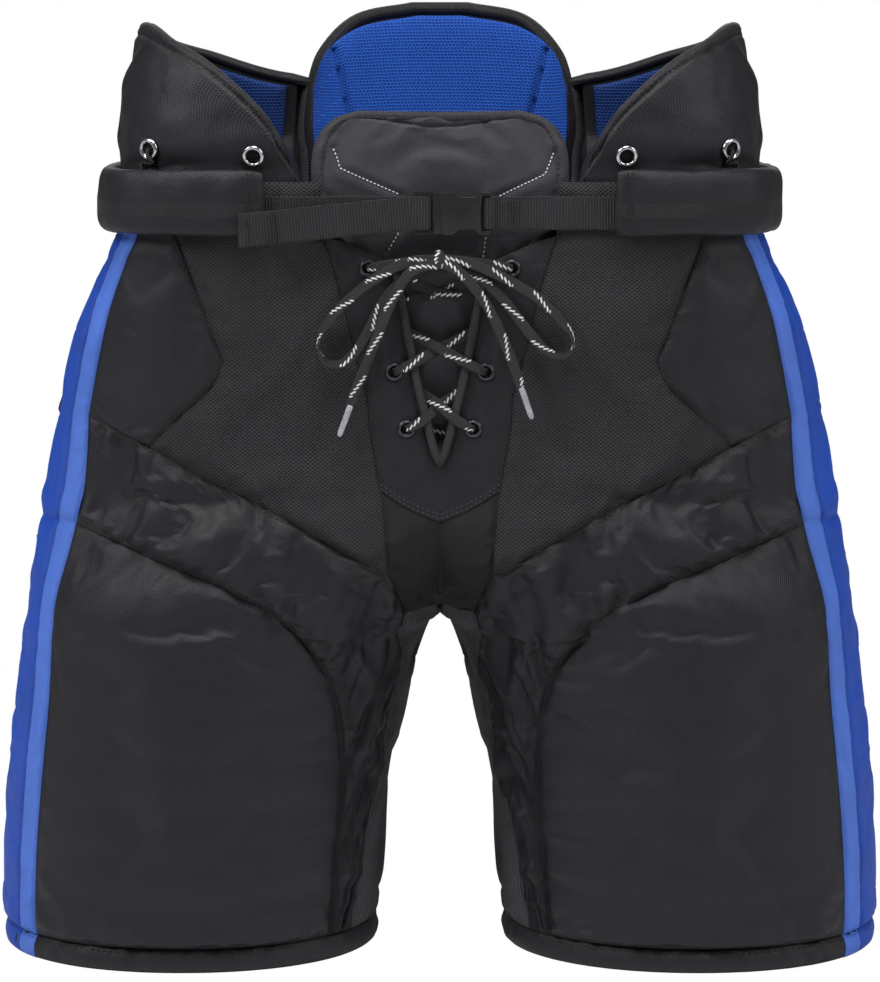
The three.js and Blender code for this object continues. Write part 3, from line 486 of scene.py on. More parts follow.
def sewn_on(piece, body="pants", slot=None, *nodes):
    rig.ride(piece, body)
    if slot:
        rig.slot(piece, slot)
    if nodes:
        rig.replaces(piece, *nodes)
    return piece


guard_gap = 0.0009
guard_thickness = 0.003
guard_plastic = Finish("guard plastic", (104, 108, 114), 0.42, Coat_Weight=0.1)
grain = guard_plastic.noise(900, 2)
guard_plastic.bump(grain, 0.00012)
guard_plastic.set("Roughness", 0.36 + guard_plastic.noise(22, 3) * 0.16)
guard_low, guard_high = 0.16, 0.96
guard = laid(spot, run([(52, guard_low), (128, guard_low)], 24), run([(50, guard_high), (104, guard_high)], 24),
             run([(52, guard_low), (50, guard_high)], 32), run([(128, guard_low), (104, guard_high)], 32))
out = facing(guard, 0.17)
u, v = lengths(guard)
edge = np.minimum.reduce([u, u[:, -1:] - u, v, v[-1:] - v])
rounding = 0.0012 * np.exp(-edge / 0.0015)[..., None]
rib = 0.0006 * np.exp(-(((u - u[:, -1:] / 2) % 0.03 - 0.015) / 0.002) ** 2)[..., None]
for side, sign in (("right", 1), ("left", -1)):
    outer = guard + out * (-fabric - guard_gap - 0.0008 - rounding)
    inner = guard + out * (-fabric - guard_gap - guard_thickness + rounding + rib)
    flip = np.array([sign, 1, 1])
    plate = closed(f"thigh_plate_{side}", outer * flip, inner * flip, out * flip)
    guard_plastic(plate)
    sewn_on(plate, "pants", "guard_plastic", f"thigh_guard_{side}")

# ------------------------------------------------------------------ Back thigh panels
# Black nylon twill over a thin foam layer, sewn to the seat above and the hem below.
# The cloth is cut a little larger than its place, so the padding fills it and it gathers at the seams.
seams_under = 0.0016
cloth_thickness = 0.0026
hem_height = 0.017
hem_top = hem_height / crotch_height
shell_top = waist + (belt_height - 0.008) / (belt_bottom - crotch_height)
crotch_line = 1.03
strip_back_turn = 210
stripe_back_turn = -1
leg_steps = 56
band_steps = 20
hip_steps = 60
seat_steps = 40


def filled(points, normal, pressure, slack, cap):
    """The shape a sewn panel takes when padding presses on cloth cut slack times too large."""
    u, v = lengths(points)
    rim = np.minimum.reduce([u, u[:, -1:] - u, v, v[-1:] - v])[..., None]
    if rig.quick():
        return points + normal * cap * 0.4 * (1 - np.exp(-rim / 0.02))
    rows, cols = points.shape[:2]
    at = np.arange(rows * cols).reshape(rows, cols)
    faces = np.stack([at[:-1, :-1], at[:-1, 1:], at[1:, 1:], at[1:, :-1]], -1).reshape(-1, 4)
    mid = np.cross(np.gradient(points, axis=1), np.gradient(points, axis=0))
    if (mid * normal).sum() < 0:
        faces = faces[:, ::-1]
    blank = piece_of("blank", points.reshape(-1, 3), faces)
    sewn = blank.vertex_groups.new(name="sewn")
    edge = np.unique(np.concatenate([at[0], at[-1], at[:, 0], at[:, -1]]))
    sewn.add(edge.tolist(), 1.0, "REPLACE")
    cloth = blank.modifiers.new("cloth", "CLOTH")
    cloth.settings.quality = 5
    cloth.settings.mass = 0.15
    cloth.settings.tension_stiffness = 25
    cloth.settings.compression_stiffness = 25
    cloth.settings.shear_stiffness = 8
    cloth.settings.bending_stiffness = 2.5
    cloth.settings.vertex_group_mass = "sewn"
    cloth.settings.shrink_min = -slack
    cloth.settings.use_pressure = True
    cloth.settings.uniform_pressure_force = pressure
    cloth.settings.effector_weights.gravity = 0
    cloth.collision_settings.use_collision = False
    cloth.point_cache.frame_end = 20
    for step in range(1, 21):
        scene.frame_set(step)
    result = blank.evaluated_get(bpy.context.evaluated_depsgraph_get())
    co = np.empty(rows * cols * 3, np.float32)
    result.data.vertices.foreach_get("co", co)
    bpy.data.objects.remove(blank)
    move = co.reshape(rows, cols, 3).astype(float) - points
    outward = (move * normal).sum(-1, keepdims=True)
    move = move + normal * (np.maximum(outward, 0) - outward)
    far = np.linalg.norm(move, axis=-1, keepdims=True)
    return points + move * np.minimum(1, cap / np.maximum(far, 1e-9))


def finer(grid, rows, cols):
    """A grid read at places given in cells, by smooth interpolation."""

    def weights(count, t):
        i = np.clip(np.floor(t).astype(int), 0, count - 2)
        s = t - i
        w = np.zeros((len(t), count))
        k = np.arange(len(t))
        parts = ((-1, -0.5 * s + s**2 - 0.5 * s**3), (0, 1 - 2.5 * s**2 + 1.5 * s**3),
                 (1, 0.5 * s + 2 * s**2 - 1.5 * s**3), (2, -0.5 * s**2 + 0.5 * s**3))
        for step, c in parts:
            j = i + step
            mid = (j >= 0) & (j < count)
            w[k[mid], j[mid]] += c[mid]
            for missing, end, next_in in ((j < 0, 0, 1), (j >= count, count - 1, count - 2)):
                w[k[missing], end] += 2 * c[missing]
                w[k[missing], next_in] -= c[missing]
        return w

    return np.einsum("ai,ijk,bj->abk", weights(grid.shape[0], rows), grid, weights(grid.shape[1], cols),
                     optimize=True)


def places(cells, split=2):
    """Places along a panel in cells, closer together beside its seams."""
    near = np.array([0.14, 0.3, 0.5, 0.72])
    return np.unique(np.concatenate([np.linspace(0, cells, split * cells + 1), near, cells - near]))


def uneven(s, seed):
    """A smooth uneven line between -1 and 1, one bump to each unit of s."""
    height = np.random.default_rng(seed).uniform(-1, 1, 4096)
    i = np.floor(s).astype(int)
    t = s - i
    t = t * t * (3 - 2 * t)
    return height[i % 4096] * (1 - t) + height[(i + 1) % 4096] * t


def creased(x, y, seed):
    """Uneven relief over a surface, one bump to each unit of x and y."""
    height = np.random.default_rng(seed).uniform(-1, 1, (512, 512))
    i, j = np.floor(x).astype(int), np.floor(y).astype(int)
    s, t = x - i, y - j
    s, t = s * s * (3 - 2 * s), t * t * (3 - 2 * t)
    low = height[i % 512, j % 512] * (1 - s) + height[(i + 1) % 512, j % 512] * s
    high = height[i % 512, (j + 1) % 512] * (1 - s) + height[(i + 1) % 512, (j + 1) % 512] * s
    return low * (1 - t) + high * t


def gathered(points, base, normal, gathers, seed, tuck=seams_under, roll=0.0035):
    """Cloth with its rim turned under and fine gathers square to each seam: side, depth, reach and pitch."""
    u, v = lengths(base)
    reach_of = {"left": (u, v), "right": (u[:, -1:] - u, v), "bottom": (v, u), "top": (v[-1:] - v, u)}
    lift = np.zeros(u.shape)
    for k, (side, depth, reach, pitch) in enumerate(gathers):
        d, s = reach_of[side]
        sway = 0.5 * uneven(d / reach + s / (5 * pitch), seed + 50 + k)
        fine = uneven(s / pitch + sway, seed + k)
        coarse = uneven(s / (2.6 * pitch) + sway, seed + 20 + k)
        near, far = d / (0.4 * reach), d / reach
        strength = 0.65 + 0.35 * uneven(s / (7 * pitch), seed + 90 + k)
        lift += depth * strength * (near * np.exp(1 - near) * fine + 0.9 * far * np.exp(1 - far) * coarse)
    rim = np.minimum.reduce([d for d, _ in reach_of.values()])
    lift *= 1 - np.exp(-((rim / 0.0025) ** 2))
    lift -= tuck * np.exp(-((rim / roll) ** 1.5))
    return points + normal * lift[..., None], rim


def panel(name, grid, finish, slot, gathers, middle=0.17, pressure=1.0, slack=0.02, cap=0.008, seed=1, pair=True,
          relief=None, tuck=seams_under, thick=cloth_thickness, roll=0.0035, density=2, node=None, body="pants"):
    """A sewn panel of cloth from its grid, on the right side and, mirrored, on the left."""
    cells = [places(grid.shape[k] - 1, density) for k in (0, 1)]
    settled = finer(filled(grid, facing(grid, middle), pressure, slack, cap), *cells)
    base = finer(grid, *cells)
    normal = facing(base, middle)
    made = []
    for side, sign in (("_right", 1), ("_left", -1)) if pair else (("", 1),):
        shaped, rim = gathered(settled, base, normal, gathers, seed + (0 if sign > 0 else 500), tuck, roll)
        if relief is not None:
            shaped = shaped + normal * relief(shaped, rim)[..., None]
        flip = np.array([sign, 1, 1])
        inner = shaped - normal * (thick * (0.55 + 0.45 * np.minimum(1, rim / 0.006)))[..., None]
        piece = finish(closed(f"{name}_cloth{side}", shaped * flip, inner * flip, normal * flip, rim))
        sewn_on(piece, body, slot, (node or name) + side if node != "" else name)
        made.append((piece, shaped * flip, normal * flip, rim))
    return made


def cut_flat(made, grid, slack=0.0):
    """Declares sewn cloth by the size it was cut to, which is its place on the shell and the slack."""
    u, v = lengths(grid)
    width, length = (float(side.max()) * (1 + slack) for side in (u, v))
    cell = np.cross(grid[:-1, 1:] - grid[:-1, :-1], grid[1:, :-1] - grid[:-1, :-1])
    area = float(np.linalg.norm(cell, axis=-1).sum()) * (1 + slack) ** 2
    for piece, *_ in made:
        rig.sheet(piece, flat=(round(width, 4), round(length, 4)), held="stretched",
                 area=round(min(area, width * length), 5))


def threads(name, path, out, finish, pitch=0.0042, length=0.0027, width=0.0007, lift=0.0004, body="pants"):
    """A row of stitches along a path: each a small rounded bar lying on the cloth."""
    path, out = np.asarray(path), np.asarray(out)
    far = np.concatenate([[0], np.cumsum(np.linalg.norm(np.diff(path, axis=0), axis=1))])
    count = max(2, int(far[-1] / pitch))
    s = (np.arange(count) + 0.5) * far[-1] / count
    read = lambda values, at: np.stack([np.interp(at, far, values[:, k]) for k in range(3)], -1)
    points, faces = [], []
    ends = ((-0.5, 0.35, -0.9), (-0.3, 1, 0.5), (0.3, 1, 0.5), (0.5, 0.35, -0.9))
    for at in s:
        first = len(points)
        for share, wide, up in ends:
            p = read(path, np.clip(at + share * length, 0, far[-1]))
            n = read(out, at)
            n /= np.linalg.norm(n)
            along = read(path, min(far[-1], at + 0.001)) - read(path, max(0, at - 0.001))
            across_it = np.cross(n, along)
            across_it /= max(1e-9, np.linalg.norm(across_it))
            for a in range(6):
                turn = a * math.pi / 3
                points.append(p + across_it * width * wide * math.cos(turn) * 0.5
                              + n * (lift * up + width * 0.45 * wide * math.sin(turn)))
        for k in range(3):
            for a in range(6):
                i, j = first + 6 * k + a, first + 6 * k + (a + 1) % 6
                faces.append([i, j, j + 6, i + 6])
        faces.append([first + a for a in range(5, -1, -1)])
        faces.append([first + 18 + a for a in range(6)])
    piece = finish(piece_of(name, points, faces))
    recalculated(piece)
    return sewn_on(piece, body)


def recalculated(piece):
    """Faces turned outwards on a closed piece."""
    bpy.ops.object.select_all(action="DESELECT")
    bpy.context.view_layer.objects.active = piece
    piece.select_set(True)
    bpy.ops.object.mode_set(mode="EDIT")
    bpy.ops.mesh.select_all(action="SELECT")
    bpy.ops.mesh.remove_doubles(threshold=1e-6)
    bpy.ops.mesh.normals_make_consistent(inside=False)
    bpy.ops.object.mode_set(mode="OBJECT")
    piece.select_set(False)
    return piece


def beside(made, side, distance):
    """A path at a distance from one seam of a finished panel, with its normals."""
    _, grid, normal, _ = made
    if side in ("left", "right"):
        grid, normal = grid.transpose(1, 0, 2), normal.transpose(1, 0, 2)
    if side in ("right", "top"):
        grid, normal = grid[::-1], normal[::-1]
    step = np.linalg.norm(np.diff(grid, axis=0), axis=-1)
    far = np.pad(np.cumsum(step, 0), ((1, 0), (0, 0)))
    path, out = [], []
    for j in range(grid.shape[1]):
        path.append([np.interp(distance, far[:, j], grid[:, j, k]) for k in range(3)])
        out.append([np.interp(distance, far[:, j], normal[:, j, k]) for k in range(3)])
    return np.array(path), np.array(out)


def twill_finish(name, colour, roughness=0.6, strength=1.0):
    """Nylon twill: fine slanting ribs, small slubs, a soft sheen and slightly rougher, rubbed seam crests."""
    twill = Finish(name, colour, roughness, Specular_IOR_Level=0.4)
    across_it, along = twill.uv()
    slubs = twill.noise(260, 3)
    drift = twill.noise(14, 3)
    rib = ((across_it + along * 0.55) * (2 * math.pi / 0.0016)).wave()
    pick = ((along - across_it * 0.2) * (2 * math.pi / 0.0013)).wave()
    crest = (1 - twill.seam() * 160) > 0
    shade = drift * 0.15 + slubs * 0.45 + rib * 0.12 + pick * 0.08 + 0.2
    dark = tuple(c * 0.72 for c in twill.colour[:3]) + (1,)
    pale = tuple(c * 1.38 for c in twill.colour[:3]) + (1,)
    twill.set("Base Color", twill.between(shade, dark, pale))
    twill.set("Roughness", roughness - 0.08 + slubs * 0.16 + crest * 0.04)
    twill.bump(rib * 0.4 + pick * 0.3 + slubs * 1.2, 0.00014, strength)
    return twill


twill = twill_finish("black nylon twill", (22, 21, 27), 0.5)
thread_black = Finish("black thread", (16, 16, 18), 0.5)
thread_black.bump(thread_black.noise(3000, 1), 0.00005)


strip_back = run([(strip_back_turn, hem_top), (strip_back_turn, crotch_line)], leg_steps)
seat_seam = run([(360 + stripe_back_turn, 1.16), (330, 1.145), (300, 1.12), (270, 1.085), (240, 1.05),
                 (strip_back_turn, crotch_line)], seat_steps)
outer_back = run([(360 + stripe_back_turn, hem_top), (360 + stripe_back_turn, 1.16)], leg_steps)
hem_back = run([(strip_back_turn, hem_top), (360 + stripe_back_turn, hem_top)], seat_steps)


def quilted(heights, depth, width=0.012):
    """Shallow level bands where the foam behind is scored."""

    def relief(points, rim):
        bands = sum(np.exp(-(((points[..., 2] - z) / width) ** 2)) for z in heights)
        return -depth * bands * (1 - np.exp(-rim / 0.02))

    return relief


back_thigh = panel("back_thigh", laid(spot, hem_back, seat_seam[::-1], strip_back, outer_back), twill, "twill",
                   [("bottom", 0.0029, 0.014, 0.009), ("top", 0.0028, 0.014, 0.01), ("left", 0.0014, 0.01, 0.012),
                    ("right", 0.0022, 0.012, 0.011)], pressure=1.2, slack=0.025, cap=0.009, seed=11,
                   relief=quilted([0.075, 0.13, 0.185], 0.0011))
for piece, *_ in back_thigh:
    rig.padded(piece, 0.4)

# ------------------------------------------------------------------ Side stripes
# Two satin strips down each side, dark blue behind and light blue in front, joined by a thin seam, with painted shade
# darkening the satin along it.
# A cross seam holds them where the yoke meets the thigh.
stripe_front_turn = 39
stripe_middle_turn = 29.2
stripe_front_top = 37.8
stripe_middle_top = 29
stripe_bend = 29.8
stripe_low = 1.253
stripe_high = 1.53
stripe_front = join(
    run([(stripe_front_turn, hem_top), (stripe_front_turn, 0.2), (39.3, 0.58), (37.7, 0.864),
         (stripe_bend, stripe_low)], leg_steps),
    run([(stripe_bend, stripe_low), (30.2, stripe_high)], band_steps),
    run([(30.2, stripe_high), (36.7, 1.743), (stripe_front_top, 1.985), (stripe_front_top, shell_top)], hip_steps))
stripe_middle = join(
    run([(stripe_middle_turn, hem_top), (stripe_middle_turn, 0.2), (29.6, 0.57), (28.7, 0.85), (21.8, stripe_low)],
        leg_steps),
    run([(21.8, stripe_low), (22.5, stripe_high)], band_steps),
    run([(22.5, stripe_high), (29.5, 1.743), (stripe_middle_top, 1.985), (stripe_middle_top, shell_top)], hip_steps))
stripe_back = np.stack([np.full(len(stripe_middle), stripe_back_turn), stripe_middle[:, 1]], 1)
cross_seam = float(level(stripe_low))


def stripe_finish(name, colour):
    satin = Finish(name, colour, 0.5, Specular_IOR_Level=0.35)
    across_it, along = satin.uv()
    thread = ((across_it * 0.6 + along) * (2 * math.pi / 0.0009)).wave()
    drift = satin.noise(24, 4)
    # Painted shade: the satin is darkened within about 4 mm of each seam, where it turns under into the seam.
    edge = satin.seam() * 260
    seam_shade = satin.node("Clamp", i0=1 - edge)
    tone = drift * 0.7 + thread * 0.06 - seam_shade * 0.35 + 0.15
    dark = tuple(c * 0.62 for c in satin.colour[:3]) + (1,)
    pale = tuple(min(1, c * 1.22) for c in satin.colour[:3]) + (1,)
    satin.set("Base Color", satin.between(satin.node("Clamp", i0=tone), dark, pale))
    satin.set("Roughness", 0.44 + satin.noise(300, 2) * 0.16)
    satin.bump(thread + satin.noise(350, 2) * 1.5, 0.00009)
    return satin


light_satin = stripe_finish("light blue satin", (80, 124, 226))
dark_satin = stripe_finish("dark blue satin", (12, 76, 190))


def pinched(points, rim):
    """The dip of the stitched cross seam, and the fullness above it."""
    d = points[..., 2] - cross_seam
    return -0.0016 * np.exp(-((d / 0.003) ** 2)) + 0.0012 * np.exp(-(((d - 0.012) / 0.008) ** 2))


light_edge = run([(stripe_middle_turn, hem_top), (stripe_front_turn, hem_top)], 10)
light_crown = run([(stripe_middle_top, shell_top), (stripe_front_top, shell_top)], 10)
light_grid = laid(spot, light_edge, light_crown, stripe_middle, stripe_front)
stripe_light = panel("stripe_light", light_grid, light_satin,
                     "stripe_light", [("left", 0.001, 0.006, 0.013), ("right", 0.0012, 0.007, 0.011)], slack=0.008,
                     pressure=0.5, cap=0.003, seed=21, relief=pinched, tuck=0.0012, roll=0.002)
dark_edge = run([(stripe_back_turn, hem_top), (stripe_middle_turn, hem_top)], 20)
dark_crown = run([(stripe_back_turn, shell_top), (stripe_middle_top, shell_top)], 20)
dark_grid = laid(spot, dark_edge, dark_crown, stripe_back, stripe_middle)
stripe_dark = panel("stripe_dark", dark_grid, dark_satin,
                    "stripe_dark", [("left", 0.0014, 0.01, 0.013), ("right", 0.001, 0.007, 0.012)], slack=0.012,
                    pressure=0.5, cap=0.004, seed=31, relief=pinched, tuck=0.0012, roll=0.002)
cut_flat(stripe_light, light_grid, 0.008)
cut_flat(stripe_dark, dark_grid, 0.012)

# ------------------------------------------------------------------ Thigh panels
# Black twill over scored foam, with puckered dark stitching where it meets the yoke.
thigh_corner = float(turn_of(0.0765, hem_top))


def as_turn(line):
    line = np.asarray(line)
    return np.stack([turn_of(line[:, 0], line[:, 1]), line[:, 1]], 1)


def x_at(t, f):
    return float(spot(t, f)[0])


thigh_top = as_turn(run([(x_at(stripe_bend, stripe_low), stripe_low), (0.2198, 1.217), (0.1798, 1.164),
                         (0.151, 1.126),
                         (0.134, 1.093), (0.1115, 1.05), (0.093, 0.977)], 48))
thigh_inner = as_turn(run([(0.093, 0.977), (0.0788, 0.882), (0.0705, 0.779), (0.0672, 0.642), (0.0667, 0.51),
                           (0.0698, 0.383), (0.0746, 0.149), (0.0765, hem_top)], leg_steps))
thigh_low = run([(stripe_front_turn, hem_top), (thigh_corner, hem_top)], 48)
thigh = panel("thigh_panel", laid(spot, thigh_low, thigh_top, stripe_front[:leg_steps + 1], thigh_inner[::-1]), twill,
              "twill", [("top", 0.0028, 0.022, 0.0085), ("right", 0.0032, 0.03, 0.009),
                        ("bottom", 0.0022, 0.011, 0.009),
                        ("left", 0.0017, 0.01, 0.012)], pressure=1.2, slack=0.02, cap=0.009, seed=41,
              relief=quilted([0.045, 0.08, 0.113, 0.148, 0.183, 0.218], 0.0009, 0.009))
for piece, *_ in thigh:
    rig.padded(piece, 0.5)

# ------------------------------------------------------------------ Yokes
# One strip of unpadded twill per leg, from the stripe across the thigh and down the inner leg.
# It is gathered hard at both long seams and hangs in soft folds down the inside of the leg.
yoke_outer = run([(x_at(30.2, stripe_high), stripe_high), (0.218, 1.496), (0.196, 1.46)], 8)
yoke_seam = run([(0.196, 1.46), (0.16, 1.39), (0.12, 1.321), (0.0734, 1.226), (0.0344, 1.144)], 32)
gusset_low = run([(0.0344, 1.144), (0.0219, crotch_line)], 8)
crotch_turn = float(turn_of(0.0219, crotch_line))
strip_front_turn = 151
inner_seam = run([(crotch_turn, crotch_line), (158, 0.89), (159, 0.77), (160, 0.65), (162, 0.5), (157, 0.34),
                  (152.5, 0.15), (strip_front_turn, hem_top)], leg_steps)
yoke_low = join(thigh_top, thigh_inner)
yoke_high = join(as_turn(join(yoke_outer, yoke_seam, gusset_low)), inner_seam)
yoke_foot = run([(thigh_corner, hem_top), (strip_front_turn, hem_top)], band_steps)


def inner_folds(points, rim):
    """Slanting folds that the loose inner leg falls into, deeper towards the hem."""
    x, z = points[..., 0], points[..., 2]
    low = np.clip((0.2 - z) / 0.1, 0, 1) * np.clip(rim / 0.012, 0, 1)
    slant = uneven((z + 0.35 * x) / 0.017, 7) + 0.6 * uneven((z - 0.8 * x) / 0.011, 8)
    pocket = -0.002 * np.exp(-(((x - 0.047 - 0.1 * (z - 0.1)) / 0.0022) ** 2)) * ((z > 0.045) & (z < 0.125))
    return 0.0016 * low * slant + pocket


yoke_grid = laid(spot, yoke_low, yoke_high, stripe_front[leg_steps:leg_steps + band_steps + 1], yoke_foot)
yoke = panel("thigh_yoke", yoke_grid, twill, "twill", [("bottom", 0.0038, 0.03, 0.0095),
                                                       ("top", 0.003, 0.026, 0.0095), ("left", 0.0014, 0.01, 0.01),
                              ("right", 0.0029, 0.016, 0.009)], pressure=0.5, slack=0.045, cap=0.008, seed=61,
             relief=inner_folds, density=3)
cut_flat(yoke, yoke_grid, 0.045)
for (made, side) in zip(yoke, ("right", "left")):
    path, out = beside(made, "bottom", 0.0032)
    threads(f"thigh_seam_thread_{side}", path, out, thread_black, pitch=0.0042)
    path, out = beside(made, "top", 0.003)
    threads(f"yoke_seam_thread_{side}", path[: len(path) * 48 // 104], out[: len(out) * 48 // 104], thread_black,
            pitch=0.0042)

# ------------------------------------------------------------------ Inner leg strips
# A ribbed stretch strip down the inside of each leg, from the crotch to the hem.
ribbed = Finish("ribbed side strip", (58, 60, 64), 0.8)
across_it, along = ribbed.uv()
cord_rib = (across_it * (2 * math.pi / 0.0024)).wave()
loops = (along * (2 * math.pi / 0.0012)).wave()
ribbed.set("Base Color", ribbed.between(cord_rib * 0.35 + loops * 0.1 + 0.5, srgb(30, 30, 33), srgb(84, 86, 90)))
ribbed.bump(cord_rib + loops * 0.3, 0.0004)
strip_foot = run([(strip_front_turn, hem_top), (strip_back_turn, hem_top)], 22)
strip_crown = run([(crotch_turn, crotch_line), (strip_back_turn, crotch_line)], 22)
strip_grid = laid(spot, strip_foot, strip_crown, inner_seam[::-1], strip_back)
strip = panel("inner_leg_strip", strip_grid, ribbed, "side_webbing",
              [("left", 0.0017, 0.01, 0.011), ("right", 0.0017, 0.01, 0.011)], pressure=0.4, slack=0.02, cap=0.005,
              seed=71)
cut_flat(strip, strip_grid, 0.02)

# ------------------------------------------------------------------ Hem bands
# A padded roll of twill bound round each leg opening, flat underneath, with a puckered seam along its top.
hem_turns = 288
hem_section = np.array([(-0.003, 0.0), (-0.0008, 0.0004), (0.0008, 0.002), (0.0014, 0.0045), (0.0017, 0.0075),
                        (0.0013, 0.0105),
                        (0.0004, 0.0132), (-0.0008, 0.0153), (-0.0026, 0.0168), (-0.006, 0.0172), (-0.0095, 0.0168),
                        (-0.012, 0.015), (-0.013, 0.012), (-0.0132, 0.008), (-0.0128, 0.004), (-0.0115, 0.0012),
                        (-0.0098, 0.0)])


def belt_loop(name, rows, finish):
    """A closed ring of equal sections."""
    m, n = rows.shape[:2]
    at = np.arange(m * n).reshape(m, n)
    faces = np.stack([at, np.roll(at, -1, 1), np.roll(np.roll(at, -1, 1), -1, 0), np.roll(at, -1, 0)], -1).reshape(-1,
                                                            4)
    step_u = np.linalg.norm(rows - np.roll(rows, 1, 0), axis=-1).mean(1).cumsum()
    step_v = np.linalg.norm(rows - np.roll(rows, 1, 1), axis=-1).mean(0).cumsum()
    uv = np.stack(np.meshgrid(step_u, step_v, indexing="ij"), -1).reshape(-1, 2)
    return recalculated(finish(piece_of(name, rows.reshape(-1, 3), faces, uv, np.full(m * n, 0.01))))


turn = np.arange(hem_turns) * 360 / hem_turns
foot = spot(turn, 0.04)
foot_centre = float(ring(0.04, False)[0])
tangent = np.roll(foot, -1, 0) - np.roll(foot, 1, 0)
foot_out = np.cross(tangent, [0, 0, 1])
foot_out /= np.linalg.norm(foot_out, axis=1, keepdims=True)
if ((foot - [foot_centre, 0, 0]) * foot_out).sum() < 0:
    foot_out = -foot_out
for side, sign, seed in (("right", 1, 5), ("left", -1, 6)):
    around = np.concatenate([[0], np.cumsum(np.linalg.norm(np.diff(foot, axis=0), axis=1))])
    whole = around[-1] + np.linalg.norm(foot[0] - foot[-1])
    close_up = lambda pitch, s: uneven(around / whole * round(whole / pitch) % round(whole / pitch), s)
    blend_in = 0.5 - 0.5 * np.cos(np.minimum(1, np.minimum(around, whole - around) / 0.01) * math.pi)
    rows = []
    for offset, z in hem_section:
        seam_pull = math.exp(-(((z - 0.0168) / 0.004) ** 2)) if offset > -0.0095 else 0
        side_pull = math.exp(-(((z - 0.009) / 0.006) ** 2)) if offset > -0.004 else 0
        wobble = blend_in * (0.0009 * seam_pull * close_up(0.0045, seed) + 0.0008 * side_pull * close_up(0.008,
                                                            seed + 10)
                             + 0.0004 * side_pull * close_up(0.0038, seed + 30))
        flat = foot * [1, 1, 0] + foot_out * (offset + wobble)[:, None]
        flat[:, 2] = z + (0.0006 * seam_pull * blend_in * close_up(0.0052, seed + 20) if z > 0.012 else 0)
        rows.append(flat)
    rows = np.array(rows).transpose(1, 0, 2) * [sign, 1, 1]
    hem = belt_loop(f"hem_roll_{side}", rows, twill)
    sewn_on(hem, "pants", "twill", f"hem_band_{side}")
    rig.padded(hem, 0.7)
    crest = foot * [1, 1, 0] + foot_out * 0.0002 + [0, 0, 0.0142]
    threads(f"hem_thread_{side}", np.concatenate([crest, crest[:1]]) * [sign, 1, 1],
            np.concatenate([foot_out, foot_out[:1]]) * [sign, 1, 1] + [0, 0, 0.6], thread_black, pitch=0.0045)
    for colour, first, last, patch in ((light_satin, 29.4, 38.8, "light"), (dark_satin, -1, 29, "dark")):
        near = np.linspace(first, last, 14 if patch == "light" else 34)
        line = spot(near, 0.04)
        normal = np.stack([np.interp(near % 360, turn, foot_out[:, k], period=360) for k in range(3)], -1)
        band = hem_section[:11]
        skin = line[None] * [1, 1, 0] + normal[None] * (band[:, None, :1] + 0.0007) + [0, 0, 1] * band[:, None,
                                                            1:] * [0, 0, 1]
        below = line[None] * [1, 1, 0] + normal[None] * (band[:, None, :1] - 0.0006) + [0, 0, 1] * band[:, None,
                                                            1:] * [0, 0, 1]
        skin[..., 2] = np.maximum(skin[..., 2], 0.0002)
        below[..., 2] = np.clip(below[..., 2], 0.0004, 0.0164)
        facing_out = np.broadcast_to(normal[None], skin.shape)
        strip_end = colour(closed(f"hem_stripe_{patch}_{side}", skin * [sign, 1, 1], below * [sign, 1, 1],
                                  facing_out * [sign, 1, 1],
                                  np.full(skin.shape[:2], 0.01)))
        sewn_on(strip_end, "pants", f"stripe_{patch}")

# ------------------------------------------------------------------ Seat
# One broad twill panel across the back, lightly padded, with a stitched line down its middle.
def seat_surface(angle, f):
    return across(np.cos(angle), f, True)


def seat_place(line):
    line = np.asarray(line)
    x = spot(line[:, 0], line[:, 1])[:, 0]
    return np.stack([np.arccos(np.minimum(1, x / half_width(line[:, 1]))), line[:, 1]], 1)


def other_half(line):
    return np.stack([math.pi - line[:, 0], line[:, 1]], 1)


crotch_middle = run([tuple(seat_place([(strip_back_turn, crotch_line)])[0]), (math.pi / 2, crotch_line)], 8)
seat_low = join(seat_place(seat_seam), crotch_middle)
seat_bottom = join(seat_low, other_half(seat_low)[::-1])
side_heights = np.linspace(1.16, shell_top, 61)
seat_side = seat_place(np.stack([np.full(61, stripe_back_turn), side_heights], 1))
seat_top = run([tuple(seat_side[-1]), (math.pi - seat_side[-1, 0], shell_top)], len(seat_bottom) - 1)


def seat_relief(points, rim):
    x, z = points[..., 0], points[..., 2]
    beside_it = 0.0008 * np.exp(-(((np.abs(x) - 0.008) / 0.006) ** 2)) * uneven(z / 0.009, 3)
    middle = -0.0016 * np.exp(-((x / 0.0022) ** 2)) + beside_it
    sag = 0.0022 * uneven((z - 0.4 * np.abs(x)) / 0.03, 5) * np.exp(-(((z - 0.27) / 0.07) ** 2))
    return (middle + sag) * (1 - np.exp(-rim / 0.01))


seat = panel("seat_panel", laid(seat_surface, seat_bottom, seat_top, seat_side, other_half(seat_side)), twill,
             "twill",
             [("bottom", 0.0029, 0.016, 0.0095), ("left", 0.002, 0.012, 0.011), ("right", 0.002, 0.012, 0.011),
              ("top", 0.0014, 0.014, 0.012)], middle=0.0, pressure=1.0, slack=0.02, cap=0.009, seed=81, pair=False,
             relief=seat_relief)
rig.padded(seat[0][0], 0.3)
path, out = beside(seat[0], "bottom", 0.003)
threads("seat_seam_thread", path, out, thread_black, pitch=0.0045)

